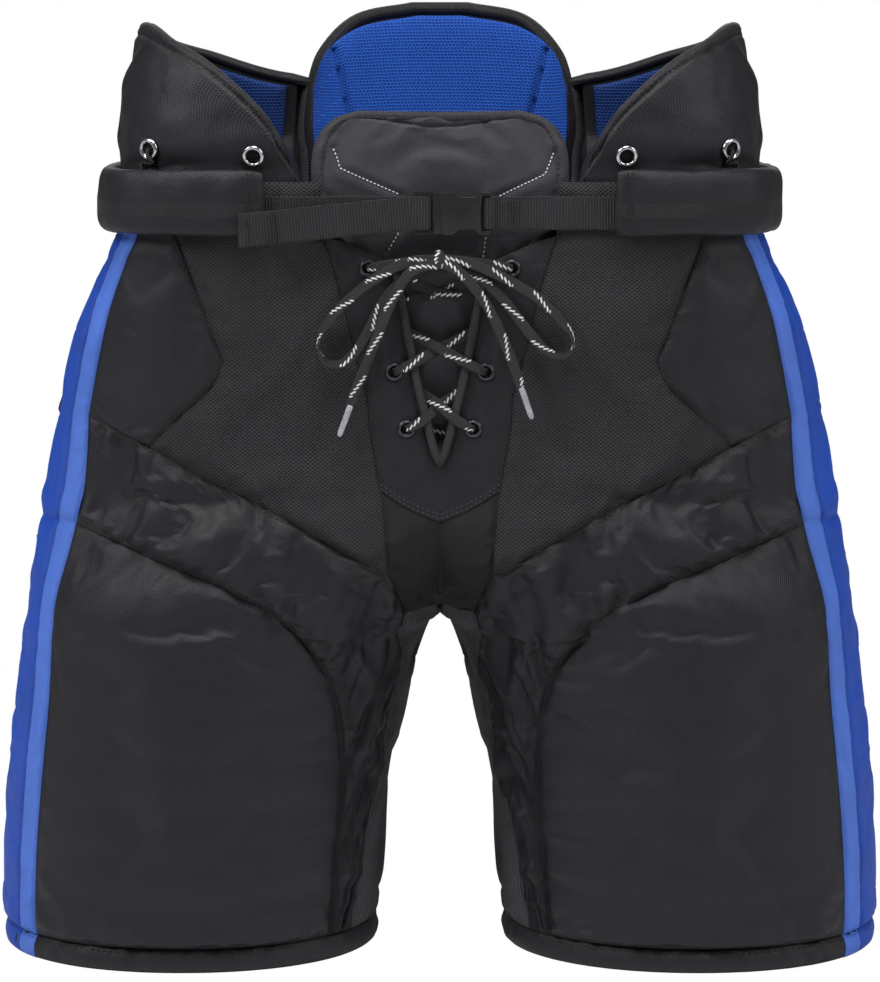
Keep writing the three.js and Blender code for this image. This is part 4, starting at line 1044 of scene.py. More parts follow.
# ------------------------------------------------------------------ Hip panels
# Foam-backed twill between the stripe and the mesh, coming to a point towards the fly.
hip_seam = join(run([(0.196, 1.46), (0.1806, 1.522), (0.153, 1.619), (0.144, 1.685)], 24),
                run([(0.144, 1.685), (0.1524, 1.765), (0.16, 1.849), (0.175, 2)], 24),
                run([(0.175, 2), (0.177, shell_top)], 12))
hip_crown = run([(float(turn_of(0.177, shell_top)), shell_top), (stripe_front_top, shell_top)], 20)
hip_grid = laid(spot, run([tuple(p) for p in as_turn(run([(0.196, 1.46), (0.218, 1.496),
                                                          (x_at(30.2, stripe_high), stripe_high)], 20))], 20),
                hip_crown, as_turn(hip_seam), stripe_front[leg_steps + band_steps:])
hip = panel("hip_panel", hip_grid, twill, "twill",
            [("left", 0.0014, 0.012, 0.012), ("right", 0.0014, 0.011, 0.012), ("bottom", 0.0014, 0.01, 0.01)],
            middle=0.0,
            pressure=1.6, slack=0.012, cap=0.008, seed=91)
for piece, *_ in hip:
    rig.padded(piece, 0.5)
for (made, side) in zip(hip, ("right", "left")):
    path, out = beside(made, "left", 0.003)
    threads(f"hip_seam_thread_{side}", path, out, thread_black, pitch=0.0042)

# ------------------------------------------------------------------ Mesh panels
# Unpadded open knit either side of the fly, with small holes in staggered rows.
def as_share(line):
    line = np.asarray(line)
    return np.stack([line[:, 0] / half_width(line[:, 1]), line[:, 1]], 1)


fly_seam = run([(0.0395, 1.363), (0.043, 1.44), (0.0467, 1.518), (0.0484, 1.602), (0.0558, 1.704), (0.0663, 1.868),
                (0.0766, 2)], 32)
fly_rise = run([(0.0766, 2), (0.078, shell_top)], 8)
gusset_side = run([(0.0344, 1.144), (0.037, 1.25), (0.0395, 1.363)], 20)
mesh_crown = run([(0.078, shell_top), (0.177, shell_top)], 32)
mesh_knit = Finish("open knit mesh", (20, 20, 23), 0.62, Specular_IOR_Level=0.4)
hole_pitch = 0.0026
spread_x, spread_y = mesh_knit.uv()


def holes_of(finish, x, y, pitch, size):
    """A round-cornered hole in each cell of two staggered rows."""
    def cell(shift):
        a = ((x / pitch + shift).part() - 0.5).size()
        b = ((y / (pitch * 0.8) + shift).part() - 0.5).size()
        return finish.node("Math", {"operation": "SMOOTH_MIN"}, i0=1, i1=(a * a + b * b) * (1 / size**2), i2=0.3)
    return cell(0.0) * cell(0.5)


open_work = holes_of(mesh_knit, spread_x, spread_y, hole_pitch * 1.25, 0.3)
yarn = ((spread_x * (2 * math.pi / 0.00065)).wave() * (spread_y * (2 * math.pi / 0.0008)).wave())
mesh_knit.set("Base Color", mesh_knit.between(open_work + yarn * 0.05, srgb(6, 6, 7), srgb(44, 43, 48)))
mesh_knit.set("Roughness", 0.9 - open_work * 0.3)
mesh_knit.bump(open_work + yarn * 0.15, 0.0006)


def mesh_relief(points, rim):
    x, z = points[..., 0], points[..., 2]
    return (0.0012 * uneven((z - 0.6 * x) / 0.045, 4) + 0.0006 * creased(x / 0.03, z / 0.05,
                                                            9)) * (1 - np.exp(-rim / 0.015))


mesh_grid = laid(across, as_share(yoke_seam[::-1]), as_share(mesh_crown),
                 as_share(join(gusset_side, fly_seam, fly_rise)), as_share(hip_seam))
mesh_side = panel("mesh_panel", mesh_grid, mesh_knit, "mesh",
                  [("bottom", 0.0022, 0.012, 0.011), ("left", 0.001, 0.008, 0.012), ("right", 0.001, 0.008, 0.012)],
                  middle=0.0,
                  pressure=0.15, slack=0.006, cap=0.004, seed=101, relief=mesh_relief, tuck=0.0014)
cut_flat(mesh_side, mesh_grid, 0.006)
for (piece, grid, _, _) in mesh_side:
    flat = np.tile(grid.reshape(-1, 3)[:, [0, 2]], (2, 1))
    corner = np.empty(len(piece.data.loops), int)
    piece.data.loops.foreach_get("vertex_index", corner)
    piece.data.uv_layers["cloth"].data.foreach_set("uv", flat[corner].ravel())

# ------------------------------------------------------------------ Crotch gusset
# A smooth, very dark stretch knit let in below the fly.
gusset_knit = Finish("dark stretch knit", (13, 13, 15), 0.45, Specular_IOR_Level=0.3)
gusset_knit.set("Roughness", 0.46 + gusset_knit.noise(40, 3) * 0.14)
loop_x, loop_y = gusset_knit.uv()
knit = (loop_x * (2 * math.pi / 0.0009)).wave() * (loop_y * (2 * math.pi / 0.0007)).wave()
gusset_knit.set("Base Color", gusset_knit.between(gusset_knit.noise(30, 4) * 0.8 + knit * 0.1, srgb(12, 12, 14),
                                                  srgb(32, 32, 36)))
gusset_knit.bump(knit + gusset_knit.noise(200, 2), 0.00012)
gusset_edge = join(run([(0.0219, crotch_line), (0.0344, 1.144)], 12), gusset_side)
gusset_top = run([(0, 1.285), (0.02, 1.317), (0.0395, 1.363)], 16)
flipped = lambda line: np.asarray(line) * [-1, 1]
gusset_crown = join(as_share(flipped(gusset_top))[::-1], as_share(gusset_top))
gusset_foot = as_share(run([(-0.0219, crotch_line), (0.0219, crotch_line)], 32))
gusset_grid = laid(across, gusset_foot, gusset_crown, as_share(flipped(gusset_edge)), as_share(gusset_edge))
gusset = panel("crotch_gusset", gusset_grid, gusset_knit, "gusset_knit",
               [("left", 0.0012, 0.009, 0.01), ("right", 0.0012, 0.009, 0.01), ("bottom", 0.0012, 0.01, 0.008)],
               middle=0.0, pressure=0.3,
               slack=0.008, cap=0.004, seed=111, pair=False, tuck=0.0014,
               relief=lambda p, rim: 0.0011 * uneven((p[..., 2] + 0.5 * np.abs(p[..., 0])) / 0.022,
                                                     2) * (1 - np.exp(-rim / 0.01)))
cut_flat(gusset, gusset_grid, 0.008)

# ------------------------------------------------------------------ Fly panels
# Two stiff twill flaps that meet above the gusset and part round a slit, laced through their eyelets.
slit_foot = 1.42
slit_outer = [(0, slit_foot), (0.0056, 1.46), (0.011, 1.54), (0.0176, 1.642), (0.0255, 1.794), (0.029, 1.87),
              (0.031, 1.93)]
slit_inner = [(0, 1.447), (0.0022, 1.475), (0.0066, 1.54), (0.0132, 1.642), (0.0211, 1.794), (0.0246, 1.87),
              (0.0268, 1.924)]
eyelet_places = {"low": (0.0222, 0.375), "middle": (0.0305, 0.413), "top": (0.0475, 0.4815)}
fly_inner = join(run([(0, 1.285), (0, slit_foot)], 12), run(slit_outer, 36))


def eyelet_pits(points, rim):
    """The cloth is pressed down under each eyelet and swells a little round it."""
    x, z = np.abs(points[..., 0]), points[..., 2]
    lift = 0.0006 * uneven((z + 0.8 * x) / 0.016, 6) * (1 - np.exp(-rim / 0.01))
    for px, pz in eyelet_places.values():
        r = np.hypot(x - px, z - pz)
        sunk = 0.0028 * np.exp(-((r / 0.0036) ** 6))
        raised = 0.0006 * np.exp(-(((r - 0.0085) / 0.003) ** 2))
        lift = lift * (1 - np.exp(-((r / 0.009) ** 2))) - sunk + raised
    return lift


fly_grid = laid(across, as_share(run([(0, 1.285), (0.02, 1.317), (0.0395, 1.363)], 24)),
                as_share(run([(0.031, 1.93), (0.047, 1.957), (0.0638, 1.985), (0.0766, 2)], 24)),
                as_share(fly_inner), as_share(run([(0.0395, 1.363), (0.043, 1.44), (0.0467, 1.518), (0.0484, 1.602),
                                                   (0.0558, 1.704),
                                                   (0.0663, 1.868), (0.0766, 2)], 48)))
fly = panel("fly_panel", fly_grid, twill, "twill",
            [("right", 0.001, 0.009, 0.011), ("bottom", 0.001, 0.008, 0.01)], middle=0.0, pressure=0.3, slack=0.004,
            cap=0.003,
            seed=121, relief=eyelet_pits, tuck=0.0008, density=3)
cut_flat(fly, fly_grid, 0.004)
thread_grey = Finish("grey thread", (64, 64, 70), 0.5)
thread_grey.bump(thread_grey.noise(3000, 1), 0.00005)
for (made, side) in zip(fly, ("right", "left")):
    for k, far in enumerate((0.0022, 0.0052)):
        path, out = beside(made, "bottom", far)
        threads(f"fly_foot_thread_{k}_{side}", path, out, thread_grey, pitch=0.0034, length=0.0023, width=0.0006)
    path, out = beside(made, "right", 0.0022)
    threads(f"fly_edge_thread_{side}", path, out, thread_black, pitch=0.0036, length=0.0024)

# ------------------------------------------------------------------ Fly slit binding
# A folded twill tape that binds the two edges of the slit and comes to a point at its foot.
def tube(name, path, wide_way, wide, thick, finish, sides=14, taper=None, square=0.8):
    """A closed rounded band along a path. wide_way gives the direction of its width at each point."""
    path, wide_way = np.asarray(path, float), np.asarray(wide_way, float)
    along = np.gradient(path, axis=0)
    along /= np.maximum(1e-12, np.linalg.norm(along, axis=1, keepdims=True))
    wide_way = wide_way - along * (wide_way * along).sum(1, keepdims=True)
    wide_way /= np.maximum(1e-12, np.linalg.norm(wide_way, axis=1, keepdims=True))
    thick_way = np.cross(along, wide_way)
    a = np.arange(sides) * 2 * math.pi / sides
    c, s = np.cos(a), np.sin(a)
    shape_c, shape_s = np.sign(c) * np.abs(c) ** square, np.sign(s) * np.abs(s) ** square
    far = np.concatenate([[0], np.cumsum(np.linalg.norm(np.diff(path, axis=0), axis=1))])
    size = np.ones(len(path)) if taper is None else np.asarray(taper, float)
    rows = path[:, None] + wide_way[:, None] * (shape_c * wide / 2)[None, :, None] * size[:, None, None] \
        + thick_way[:, None] * (shape_s * thick / 2)[None, :, None] * size[:, None, None]
    m = len(path)
    at = np.arange(m * sides).reshape(m, sides)
    faces = np.stack([at[:-1], np.roll(at, -1, 1)[:-1], np.roll(at, -1, 1)[1:], at[1:]], -1).reshape(-1, 4).tolist()
    points = rows.reshape(-1, 3).tolist()
    uv = np.stack(np.broadcast_arrays(far[:, None], (shape_c * wide / 2)[None]), -1).reshape(-1, 2).tolist()
    for end, k, way in ((0, 0, -1), (m - 1, m - 1, 1)):
        tip = len(points)
        points.append((path[k] + along[k] * way * thick * 0.2).tolist())
        uv.append([float(far[k]), 0.0])
        loop = at[end]
        faces += [[int(loop[i]), int(loop[(i + 1) % sides]), tip][::way] for i in range(sides)]
    piece = finish(piece_of(name, points, faces, np.array(uv), np.full(len(points), 0.01)))
    return recalculated(piece)


binding_tape = Finish("black binding tape", (24, 24, 27), 0.5, Specular_IOR_Level=0.35)
tape_u, tape_v = binding_tape.uv()
tape_rib = (tape_u * (2 * math.pi / 0.0011)).wave() + (tape_v * (2 * math.pi / 0.0008)).wave() * 0.5
binding_tape.set("Base Color", binding_tape.between(binding_tape.noise(60, 3) * 0.8 + tape_rib * 0.06,
                                                    srgb(20, 20, 22), srgb(48, 47, 52)))
binding_tape.bump(tape_rib + binding_tape.noise(400, 2), 0.00014)
slit_line = [tuple((np.array(a) + np.array(b)) / 2) for a, b in zip(slit_outer, slit_inner)]
slit_half = across(*as_share(run(slit_line, 48)).T)
slit_path = np.concatenate([(slit_half * [-1, 1, 1])[::-1], slit_half[1:]])
slit_path[:, 1] -= 0.0012
slit_wide = np.gradient(slit_path, axis=0)
slit_wide = np.cross(slit_wide, [0, 1, 0])
slit_bind = tube("slit_binding_tape", slit_path, slit_wide, 0.0062, 0.0046, binding_tape)
sewn_on(slit_bind, "pants", "binding", "fly_slit_binding")
slit_length = float(np.linalg.norm(np.diff(slit_path, axis=0), axis=1).sum())
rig.sheet(slit_bind, flat=(0.0105, round(slit_length, 4)), held="folded")

# ------------------------------------------------------------------ Tailbone pad
# A block of soft grey foam behind the seat, low on the spine, rounded all over.
foam = Finish("grey foam", (74, 78, 84), 0.95)
cells = foam.node("TexVoronoi", Vector=foam.place(), Scale=900)
foam.set("Base Color", foam.between(cells * 1.2, srgb(52, 55, 60), srgb(90, 94, 100)))
foam.bump(cells, 0.0004)
inside = -fabric - 0.0009


def pillow(name, grid, middle, lift, thick, edge, finish, rim_thick=0.002, density=2, relief=None, sign=1, pressure=0,
           slack=0.01, cap=0.004, seed=1, gathers=()):
    """A closed pad: full in the middle, drawn in towards its edges.

    lift is how far its middle layer lies outside the shell.
    """
    normal = facing(grid, middle)
    grid = grid + normal * (lift if np.isscalar(lift) else lift[..., None])
    settled = filled(grid, normal, pressure, slack, cap) if pressure else grid
    cells = [places(grid.shape[k] - 1, density) for k in (0, 1)]
    base, full = finer(grid, *cells), finer(settled, *cells)
    normal = facing(base, middle)
    shaped, rim = gathered(full, base, normal, gathers, seed, 0.0)
    swell = np.sqrt(1 - (1 - np.clip(rim / edge, 0, 1)) ** 2)
    half = rim_thick / 2 + (thick - rim_thick) / 2 * swell
    if relief is not None:
        shaped = shaped + normal * relief(shaped, rim)[..., None]
    outer = shaped + normal * half[..., None]
    inner = base - normal * half[..., None]
    flip = np.array([sign, 1, 1])
    piece = finish(closed(name, outer * flip, inner * flip, normal * flip, rim))
    return piece, outer * flip, inner * flip, normal * flip, rim


tail_grid = laid(lambda q, f: across(q, f, True), run([(0.1, 1.62), (-0.1, 1.62)], 24),
                 run([(0.22, 1.97), (-0.22, 1.97)], 24),
                 run([(0.1, 1.62), (0.22, 1.97)], 24), run([(-0.1, 1.62), (-0.22, 1.97)], 24))
tailbone = pillow("tailbone_foam", tail_grid, 0.0, inside - 0.0042, 0.0078, 0.01, foam, 0.003)[0]
sewn_on(tailbone, "pants", "foam", "tailbone_pad")
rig.padded(tailbone, 0.9)

# ------------------------------------------------------------------ Spine pad
# The tall back pad: twill outside, bright blue air mesh inside, its free edge bound with black tape.
spine_half_width = 0.097
spine_top_height = 0.654


def spine_places(trim, low, count=28):
    w, top = spine_half_width - trim, spine_top_height - trim
    rim = [(w, 0.597), (w - 0.009, 0.622), (w - 0.034, top - 0.008), (w - 0.075, top)]
    place = lambda x, z: (float(x / half_width(fraction(z))), float(fraction(z)))
    side = run([place(w - 0.008, low), place(w, 0.56), place(w, 0.597)], count)
    half = run([place(*p) for p in rim], 24)
    over = join(half, run([tuple(half[-1]), (-half[-1][0], half[-1][1])], 10), flipped(half)[::-1])
    low_line = run([tuple(side[0]), (-side[0][0], side[0][1])], len(over) - 1)
    return low_line, over, side, flipped(side)


back_across = lambda q, f: across(q, f, True)
spine_grid = laid(back_across, *spine_places(0, 0.507))
spine, *_ = pillow(
    "spine_pad_cloth", spine_grid, 0.0, inside - 0.0055, 0.0105, 0.012, twill, 0.004, pressure=0.6, slack=0.01,
    cap=0.004, seed=131,
    gathers=[("top", 0.0008, 0.01, 0.009), ("left", 0.0008, 0.01, 0.009), ("right", 0.0008, 0.01, 0.009)])
sewn_on(spine, "pants", "twill", "spine_pad")
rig.padded(spine, 0.6)
air_mesh = Finish("bright blue air mesh", (6, 108, 240), 0.6, Specular_IOR_Level=0.3)
air_u, air_v = air_mesh.uv()


def honeycomb(finish, x, y, pitch):
    """1 on the walls of a honeycomb, falling to 0 in its cells."""
    def cell(shift):
        a = ((x / pitch + shift).part() - 0.5).size()
        b = ((y / (pitch * 1.732) + shift).part() - 0.5).size() * 1.732
        return finish.node("Math", {"operation": "MAXIMUM"}, i0=a, i1=a * 0.5 + b * 0.866)
    return finish.node("Math", {"operation": "MINIMUM"}, i0=cell(0.0), i1=cell(0.5))


air_cell = honeycomb(air_mesh, air_u, air_v, 0.0026)
air_wall = air_mesh.node("MapRange", {"interpolation_type": "SMOOTHSTEP"}, Value=air_cell,
                         **{"From Min": 0.26, "From Max": 0.46})
air_mesh.set("Base Color", air_mesh.between(air_wall * 0.8 + air_mesh.noise(30, 3) * 0.2, srgb(14, 58, 150),
                                            srgb(40, 106, 216)))
air_mesh.set("Roughness", 0.75 - air_wall * 0.2)
air_mesh.bump(air_wall, 0.0006)
lining_places = spine_places(0.006, 0.512)
lining_base = laid(back_across, *lining_places)
lining_cells = [places(lining_base.shape[k] - 1, 2) for k in (0, 1)]
lining_fine = finer(lining_base, *lining_cells)
lining_out = facing(lining_fine, 0.0)
lu, lv = lengths(lining_fine)
lining_rim = np.minimum.reduce([lu, lu[:, -1:] - lu, lv[-1:] - lv])
lx, lz = lining_fine[..., 0], lining_fine[..., 2]
fold_line = np.abs(np.abs(lx) - (0.0735 - (0.615 - lz) * 0.24))
fold = 0.002 * np.exp(-((fold_line / 0.0022) ** 2)) * (lz < 0.625)
swell = 0.0028 * np.sqrt(1 - (1 - np.clip(lining_rim / 0.02, 0, 1)) ** 2) * (np.abs(lx) < 0.074 - (0.615 - lz) * 0.24)
depth_in = inside - 0.011 - 0.0006 - swell + fold
lining_piece = closed("spine_lining_mesh", lining_fine + lining_out * (depth_in - 0.0016)[..., None],
                      lining_fine + lining_out * (inside - 0.0095), -lining_out, lining_rim)
air_mesh(lining_piece)
sewn_on(lining_piece, "pants", "back_lining", "spine_lining")
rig.padded(lining_piece, 0.3)
low_line, over, side_line, _ = spine_places(0.001, 0.507)
edge_places = join(side_line, over, flipped(side_line)[::-1])
spine_edge = back_across(edge_places[:, 0], edge_places[:, 1])
edge_out = np.stack([spine_edge[:, 0], spine_edge[:, 1] * 1.5, np.zeros(len(spine_edge))], 1)
edge_out /= np.linalg.norm(edge_out, axis=1, keepdims=True)
spine_edge = spine_edge + edge_out * (inside - 0.0062)
spine_tape = tube("spine_binding", spine_edge, edge_out, 0.0135, 0.0095, binding_tape, sides=16)
sewn_on(spine_tape, "pants", "binding")

# ------------------------------------------------------------------ Kidney pads
# Curved twill wings round the hips, foam filled, rising to a rounded tip.
# Their front edge is turned and stitched, and their back edge is bound with tape.
kidney_tip_height = 0.638
kidney_thickness = 0.011
wing_edge = through([(-66, 0.604), (-45, 0.622), (-20, 0.633), (0, kidney_tip_height),
                     (14, kidney_tip_height + 0.004),
                     (26, kidney_tip_height + 0.003), (38, 0.634), (50, 0.619), (60, 0.589), (65, 0.56), (68, 0.531)])
wing_low = 0.507
wing_lean = through([(0.54, inside - 0.0004), (0.548, inside - 0.0004), (0.564, -0.001), (0.6, -0.004),
                     (kidney_tip_height + 0.004, -0.012)])
wing_square = through([(0.54, 0), (kidney_tip_height, 1)])
belt_top = waist + belt_height / (belt_bottom - crotch_height)


def wing_surface(t, f):
    upright = spot(t, np.minimum(f, belt_top))
    round_one = np.stack(np.broadcast_arrays(waist_half_width * np.cos(np.radians(t)),
                                             -front_depth * np.sin(np.radians(t)), 0 * f), -1)
    share = 0.35 * wing_square(level(f))[..., None]
    p = upright * (1 - share) + round_one * share
    p[..., 2] = level(f)
    return p


def wing_grid(first, last, low, drop, across_steps, up_steps):
    turns = np.linspace(first, last, across_steps + 1)
    top = fraction(wing_edge(turns) - drop)
    bottom = np.full(len(turns), float(fraction(low)))
    share = np.linspace(0, 1, up_steps + 1)[:, None]
    return wing_surface(np.broadcast_to(turns, (up_steps + 1, len(turns))), bottom * (1 - share) + top * share)


grommet_places = {"inner": (60, 0.555), "outer": (42, 0.559)}
wing = wing_grid(-64, 67, wing_low, 0, 88, 36)
lean = wing_lean(wing[..., 2])
grommet_points = [wing_surface(np.array(float(t)), fraction(z)) for t, z in grommet_places.values()]


def wing_relief(points, rim):
    """A stitched channel inside the free edge, soft creases, and a dent under each grommet."""
    x, y, z = points[..., 0], points[..., 1], points[..., 2]
    lift = -0.0022 * np.exp(-(((rim - 0.0075) / 0.0018) ** 2))
    lift += 0.0012 * creased(np.arctan2(y, x) / 0.16, z / 0.03, 17) * np.clip(rim / 0.02, 0, 1)
    lift += 0.0007 * creased(np.arctan2(y, x) / 0.05, z / 0.012, 18) * np.clip(rim / 0.02, 0, 1)
    for p in grommet_points:
        r = np.sqrt(((points - p) ** 2).sum(-1) * 1.0 + 0)
        lift += -0.0018 * np.exp(-((r / 0.011) ** 2))
    return lift


kidney_lining_mesh = Finish("dark blue air mesh", (3, 58, 150), 0.62, Specular_IOR_Level=0.3)
kid_u, kid_v = kidney_lining_mesh.uv()
kid_wall = kidney_lining_mesh.node("MapRange", {"interpolation_type": "SMOOTHSTEP"},
                                   Value=honeycomb(kidney_lining_mesh, kid_u, kid_v, 0.0026),
                                   **{"From Min": 0.26, "From Max": 0.46})
kidney_lining_mesh.set("Base Color", kidney_lining_mesh.between(kid_wall * 0.8 + kidney_lining_mesh.noise(30,
                                                            3) * 0.2, srgb(8, 34, 84), srgb(20, 68, 146)))
kidney_lining_mesh.bump(kid_wall, 0.0006)
wing_faces = {}
for side, sign, seed in (("right", 1, 141), ("left", -1, 151)):
    kidney, outer, inner, normal, rim = pillow(f"kidney_cloth_{side}", wing, 0.0, lean - kidney_thickness / 2,
                                               kidney_thickness, 0.011, twill,
                                               0.004, sign=sign, relief=wing_relief, pressure=0.7, slack=0.012,
                                               cap=0.005, seed=seed,
                                               gathers=[("top", 0.001, 0.011, 0.009), ("right", 0.001, 0.01, 0.009)])
    wing_faces[side] = (outer, normal, rim)
    sewn_on(kidney, "pants", "twill", f"kidney_pad_{side}")
    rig.padded(kidney, 0.7)
    path, out = beside((kidney, outer, normal, rim), "top", 0.0078)
    threads(f"kidney_edge_thread_{side}", path[2:], out[2:], thread_black, pitch=0.004)
    inner_grid = wing_grid(-62, 63, wing_low + 0.003, 0.006, 88, 32)
    inner_out = facing(inner_grid, 0.0)
    u, v = lengths(inner_grid)
    inner_rim = np.minimum.reduce([u, u[:, -1:] - u, v, v[-1:] - v])
    puff = 0.0022 * np.sqrt(1 - (1 - np.clip(inner_rim / 0.018, 0, 1)) ** 2)
    inner_lean = wing_lean(inner_grid[..., 2]) - kidney_thickness
    flip = np.array([sign, 1, 1])
    back_face = (inner_grid + inner_out * (inner_lean - 0.0008 - puff)[..., None]) * flip
    front_face = (inner_grid + inner_out * (inner_lean + 0.0025)[..., None]) * flip
    kid_lining = kidney_lining_mesh(closed(f"kidney_lining_mesh_{side}", back_face, front_face, -inner_out * flip,
                                           inner_rim))
    sewn_on(kid_lining, "pants", "wing_lining", f"kidney_lining_{side}")
    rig.padded(kid_lining, 0.3)
    turns = np.linspace(-64, 26, 80)
    rim_path = wing_surface(turns, fraction(wing_edge(turns) - 0.0015))
    rim_out = facing(np.stack([rim_path - [0, 0, 0.01], rim_path]), 0.0)[1]
    rim_path = rim_path + rim_out * (wing_lean(rim_path[:, 2]) - kidney_thickness / 2)[:, None]
    back_rise = np.linspace(wing_low, float(wing_edge(-64)) - 0.004, 20)
    back_path = wing_surface(np.full(20, -64.0), fraction(back_rise))
    back_out = facing(np.stack([back_path, back_path + [0.0, 0.01, 0]], 1), 0.0)[:, 0]
    back_out = np.stack([back_path[:, 0], back_path[:, 1], np.zeros(20)], 1)
    back_out /= np.linalg.norm(back_out, axis=1, keepdims=True)
    back_path = back_path + back_out * (wing_lean(back_rise) - kidney_thickness / 2)[:, None]
    whole_path = np.concatenate([back_path, rim_path[1:]])
    whole_out = np.concatenate([back_out, rim_out[1:]])
    from_tip = len(whole_path) - 1 - np.arange(len(whole_path))
    taper = np.minimum(1, 0.2 + 0.8 * from_tip / 26)
    kid_tape = tube(f"kidney_binding_{side}", whole_path * flip, whole_out * flip, 0.0125, 0.0085, binding_tape,
                    sides=14, taper=taper)
    sewn_on(kid_tape, "pants", "binding")
    rise = np.linspace(wing_low + 0.004, 0.598, 16)
    near = np.stack([np.interp(rise, back_rise, back_path[:, k]) for k in (0, 1)] + [rise], 1)
    within = wing_surface(np.full(16, -57.0), fraction(rise))
    within[:, 2] = rise
    within += (near - wing_surface(np.full(16, -64.0), fraction(rise))) * [1, 1, 0]
    right_rim = spine_edge[spine_edge[:, 0] > 0]
    right_rim = right_rim[np.argsort(right_rim[:, 2])]
    far = np.stack([np.interp(rise, right_rim[:, 2], right_rim[:, k]) for k in (0, 1)] + [rise], 1)
    corners = np.stack([within, near, far, far + [-0.012, 0.001, 0]], 1)
    share = np.linspace(0, 3, 9)
    strip_face = np.stack([np.stack([np.interp(share, range(4), row[:, k]) for k in range(3)], 1) for row in corners])
    behind = np.tile([0.0, 1.0, 0.0], (16, 9, 1))
    cut_edge = np.minimum(*np.meshgrid(np.abs(np.linspace(-1, 1, 9)) * -0.01 + 0.01, np.full(16, 0.02)))
    joining = twill(closed(f"waist_join_cloth_{side}", strip_face * flip, (strip_face - behind * 0.0016) * flip,
                           behind * flip, cut_edge))
    sewn_on(joining, "pants", "twill")

# ------------------------------------------------------------------ Belly pad
# A foam pad with a long tongue that goes down behind the lacing, bound round its top.
# White topstitching marks its folds.
belly_half_width = 0.085
belly_top_height = 0.583
belly_thickness = 0.007
height_at = lambda z: float(fraction(z))
belly_side = run([(0.024, 1.4), (0.03, 1.55), (0.034, 1.7), (0.044, 1.85), (0.062, 1.96), (0.08, 2.03),
                  (belly_half_width, 2.1),
                  (belly_half_width, 2.19), (belly_half_width - 0.005, height_at(belly_top_height - 0.014)),
                  (belly_half_width - 0.014, height_at(belly_top_height - 0.005)),
                  (belly_half_width - 0.029, height_at(belly_top_height))], 88)
belly_edge = as_share(belly_side)
belly_grid = laid(across, run([(-belly_edge[0][0], belly_edge[0][1]), tuple(belly_edge[0])], 48),
                  run([(-belly_edge[-1][0], belly_edge[-1][1]), tuple(belly_edge[-1])], 48), flipped(belly_edge),
                  belly_edge)
tongue_lift = through([(1.4, inside), (1.44, inside), (1.5, inside - 0.0054), (2.3, inside - 0.0054)])
belly_twill = twill_finish("charcoal belly twill", (56, 55, 60), 0.62)
white_stitches = {
    "left": [(-0.0704, 0.5601), (-0.0675, 0.553), (-0.0659, 0.547), (-0.0527, 0.5411), (-0.027, 0.5299)],
    "right": [(0.075, 0.5575), (0.072, 0.5495), (0.0692, 0.543), (0.0527, 0.5352), (0.0363, 0.5273)],
    "low_left": [(-0.0271, 0.5049), (-0.0344, 0.4923)],
    "low_right": [(0.0304, 0.5022), (0.0284, 0.4877)],
}


def stitch_line(points, step=0.001):
    points = np.array(points, float)
    far = np.concatenate([[0], np.cumsum(np.linalg.norm(np.diff(points, axis=0), axis=1))])
    s = np.linspace(0, far[-1], max(2, int(far[-1] / step)))
    return np.stack([np.interp(s, far, points[:, k]) for k in range(2)], 1)


def belly_relief(points, rim):
    x, z = points[..., 0], points[..., 2]
    lift = -0.0014 * np.exp(-(((rim - 0.0088) / 0.0012) ** 2)) * (z > 0.53)
    lift += -0.0013 * np.exp(-(((x - 0.0303) / 0.0022) ** 2)) * np.clip((z - 0.53) / 0.01, 0, 1)
    for line in white_stitches.values():
        path = stitch_line(line, 0.003)
        near = np.min(np.hypot(x[..., None] - path[:, 0], z[..., None] - path[:, 1]), axis=-1)
        lift += -0.0009 * np.exp(-((near / 0.0014) ** 2)) + 0.0005 * np.exp(-(((near - 0.005) / 0.003) ** 2))
    return lift + 0.0006 * creased(x / 0.03, z / 0.022, 27) * np.clip(rim / 0.02, 0, 1)


belly, belly_outer, _, belly_normal, belly_rim = pillow(
    "belly_pad_cloth", belly_grid, 0.0, tongue_lift(fraction(belly_grid[..., 2])) - belly_thickness / 2,
    belly_thickness, 0.01, belly_twill,
    0.0035, relief=belly_relief, pressure=0.8, slack=0.01, cap=0.0035, seed=161,
    gathers=[("top", 0.0008, 0.009, 0.006), ("left", 0.0008, 0.009, 0.007), ("right", 0.0008, 0.009, 0.007)])
sewn_on(belly, "pants", "twill", "belly_pad")
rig.padded(belly, 0.6)
belly_line = belly_side[belly_side[:, 1] > 1.9]
belly_loop = np.concatenate([as_share(belly_line), run([tuple(as_share(belly_line)[-1]),
                                                        (-as_share(belly_line)[-1][0], belly_line[-1][1])], 40)[1:],
                             flipped(as_share(belly_line))[::-1][1:]])
belly_path = across(belly_loop[:, 0], belly_loop[:, 1])
belly_way = np.stack([belly_path[:, 0] * 0.15, belly_path[:, 1], np.zeros(len(belly_path))], 1)
belly_way /= np.linalg.norm(belly_way, axis=1, keepdims=True)
belly_path = belly_path + belly_way * (inside - 0.0054 - belly_thickness / 2)
inward = np.stack([-belly_path[:, 0], np.zeros(len(belly_path)), 0.53 - belly_path[:, 2]], 1)
belly_path = belly_path + inward / np.linalg.norm(inward, axis=1, keepdims=True) * 0.0026
soft_tape = Finish("charcoal binding tape", (34, 33, 37), 0.55, Specular_IOR_Level=0.35)
soft_u, soft_v = soft_tape.uv()
soft_rib = (soft_u * (2 * math.pi / 0.0011)).wave() + (soft_v * (2 * math.pi / 0.0008)).wave() * 0.5
soft_tape.set("Base Color", soft_tape.between(soft_tape.noise(60, 3) * 0.8 + soft_rib * 0.06, srgb(36, 35, 39),
                                              srgb(64, 63, 68)))
soft_tape.bump(soft_rib + soft_tape.noise(400, 2), 0.00014)
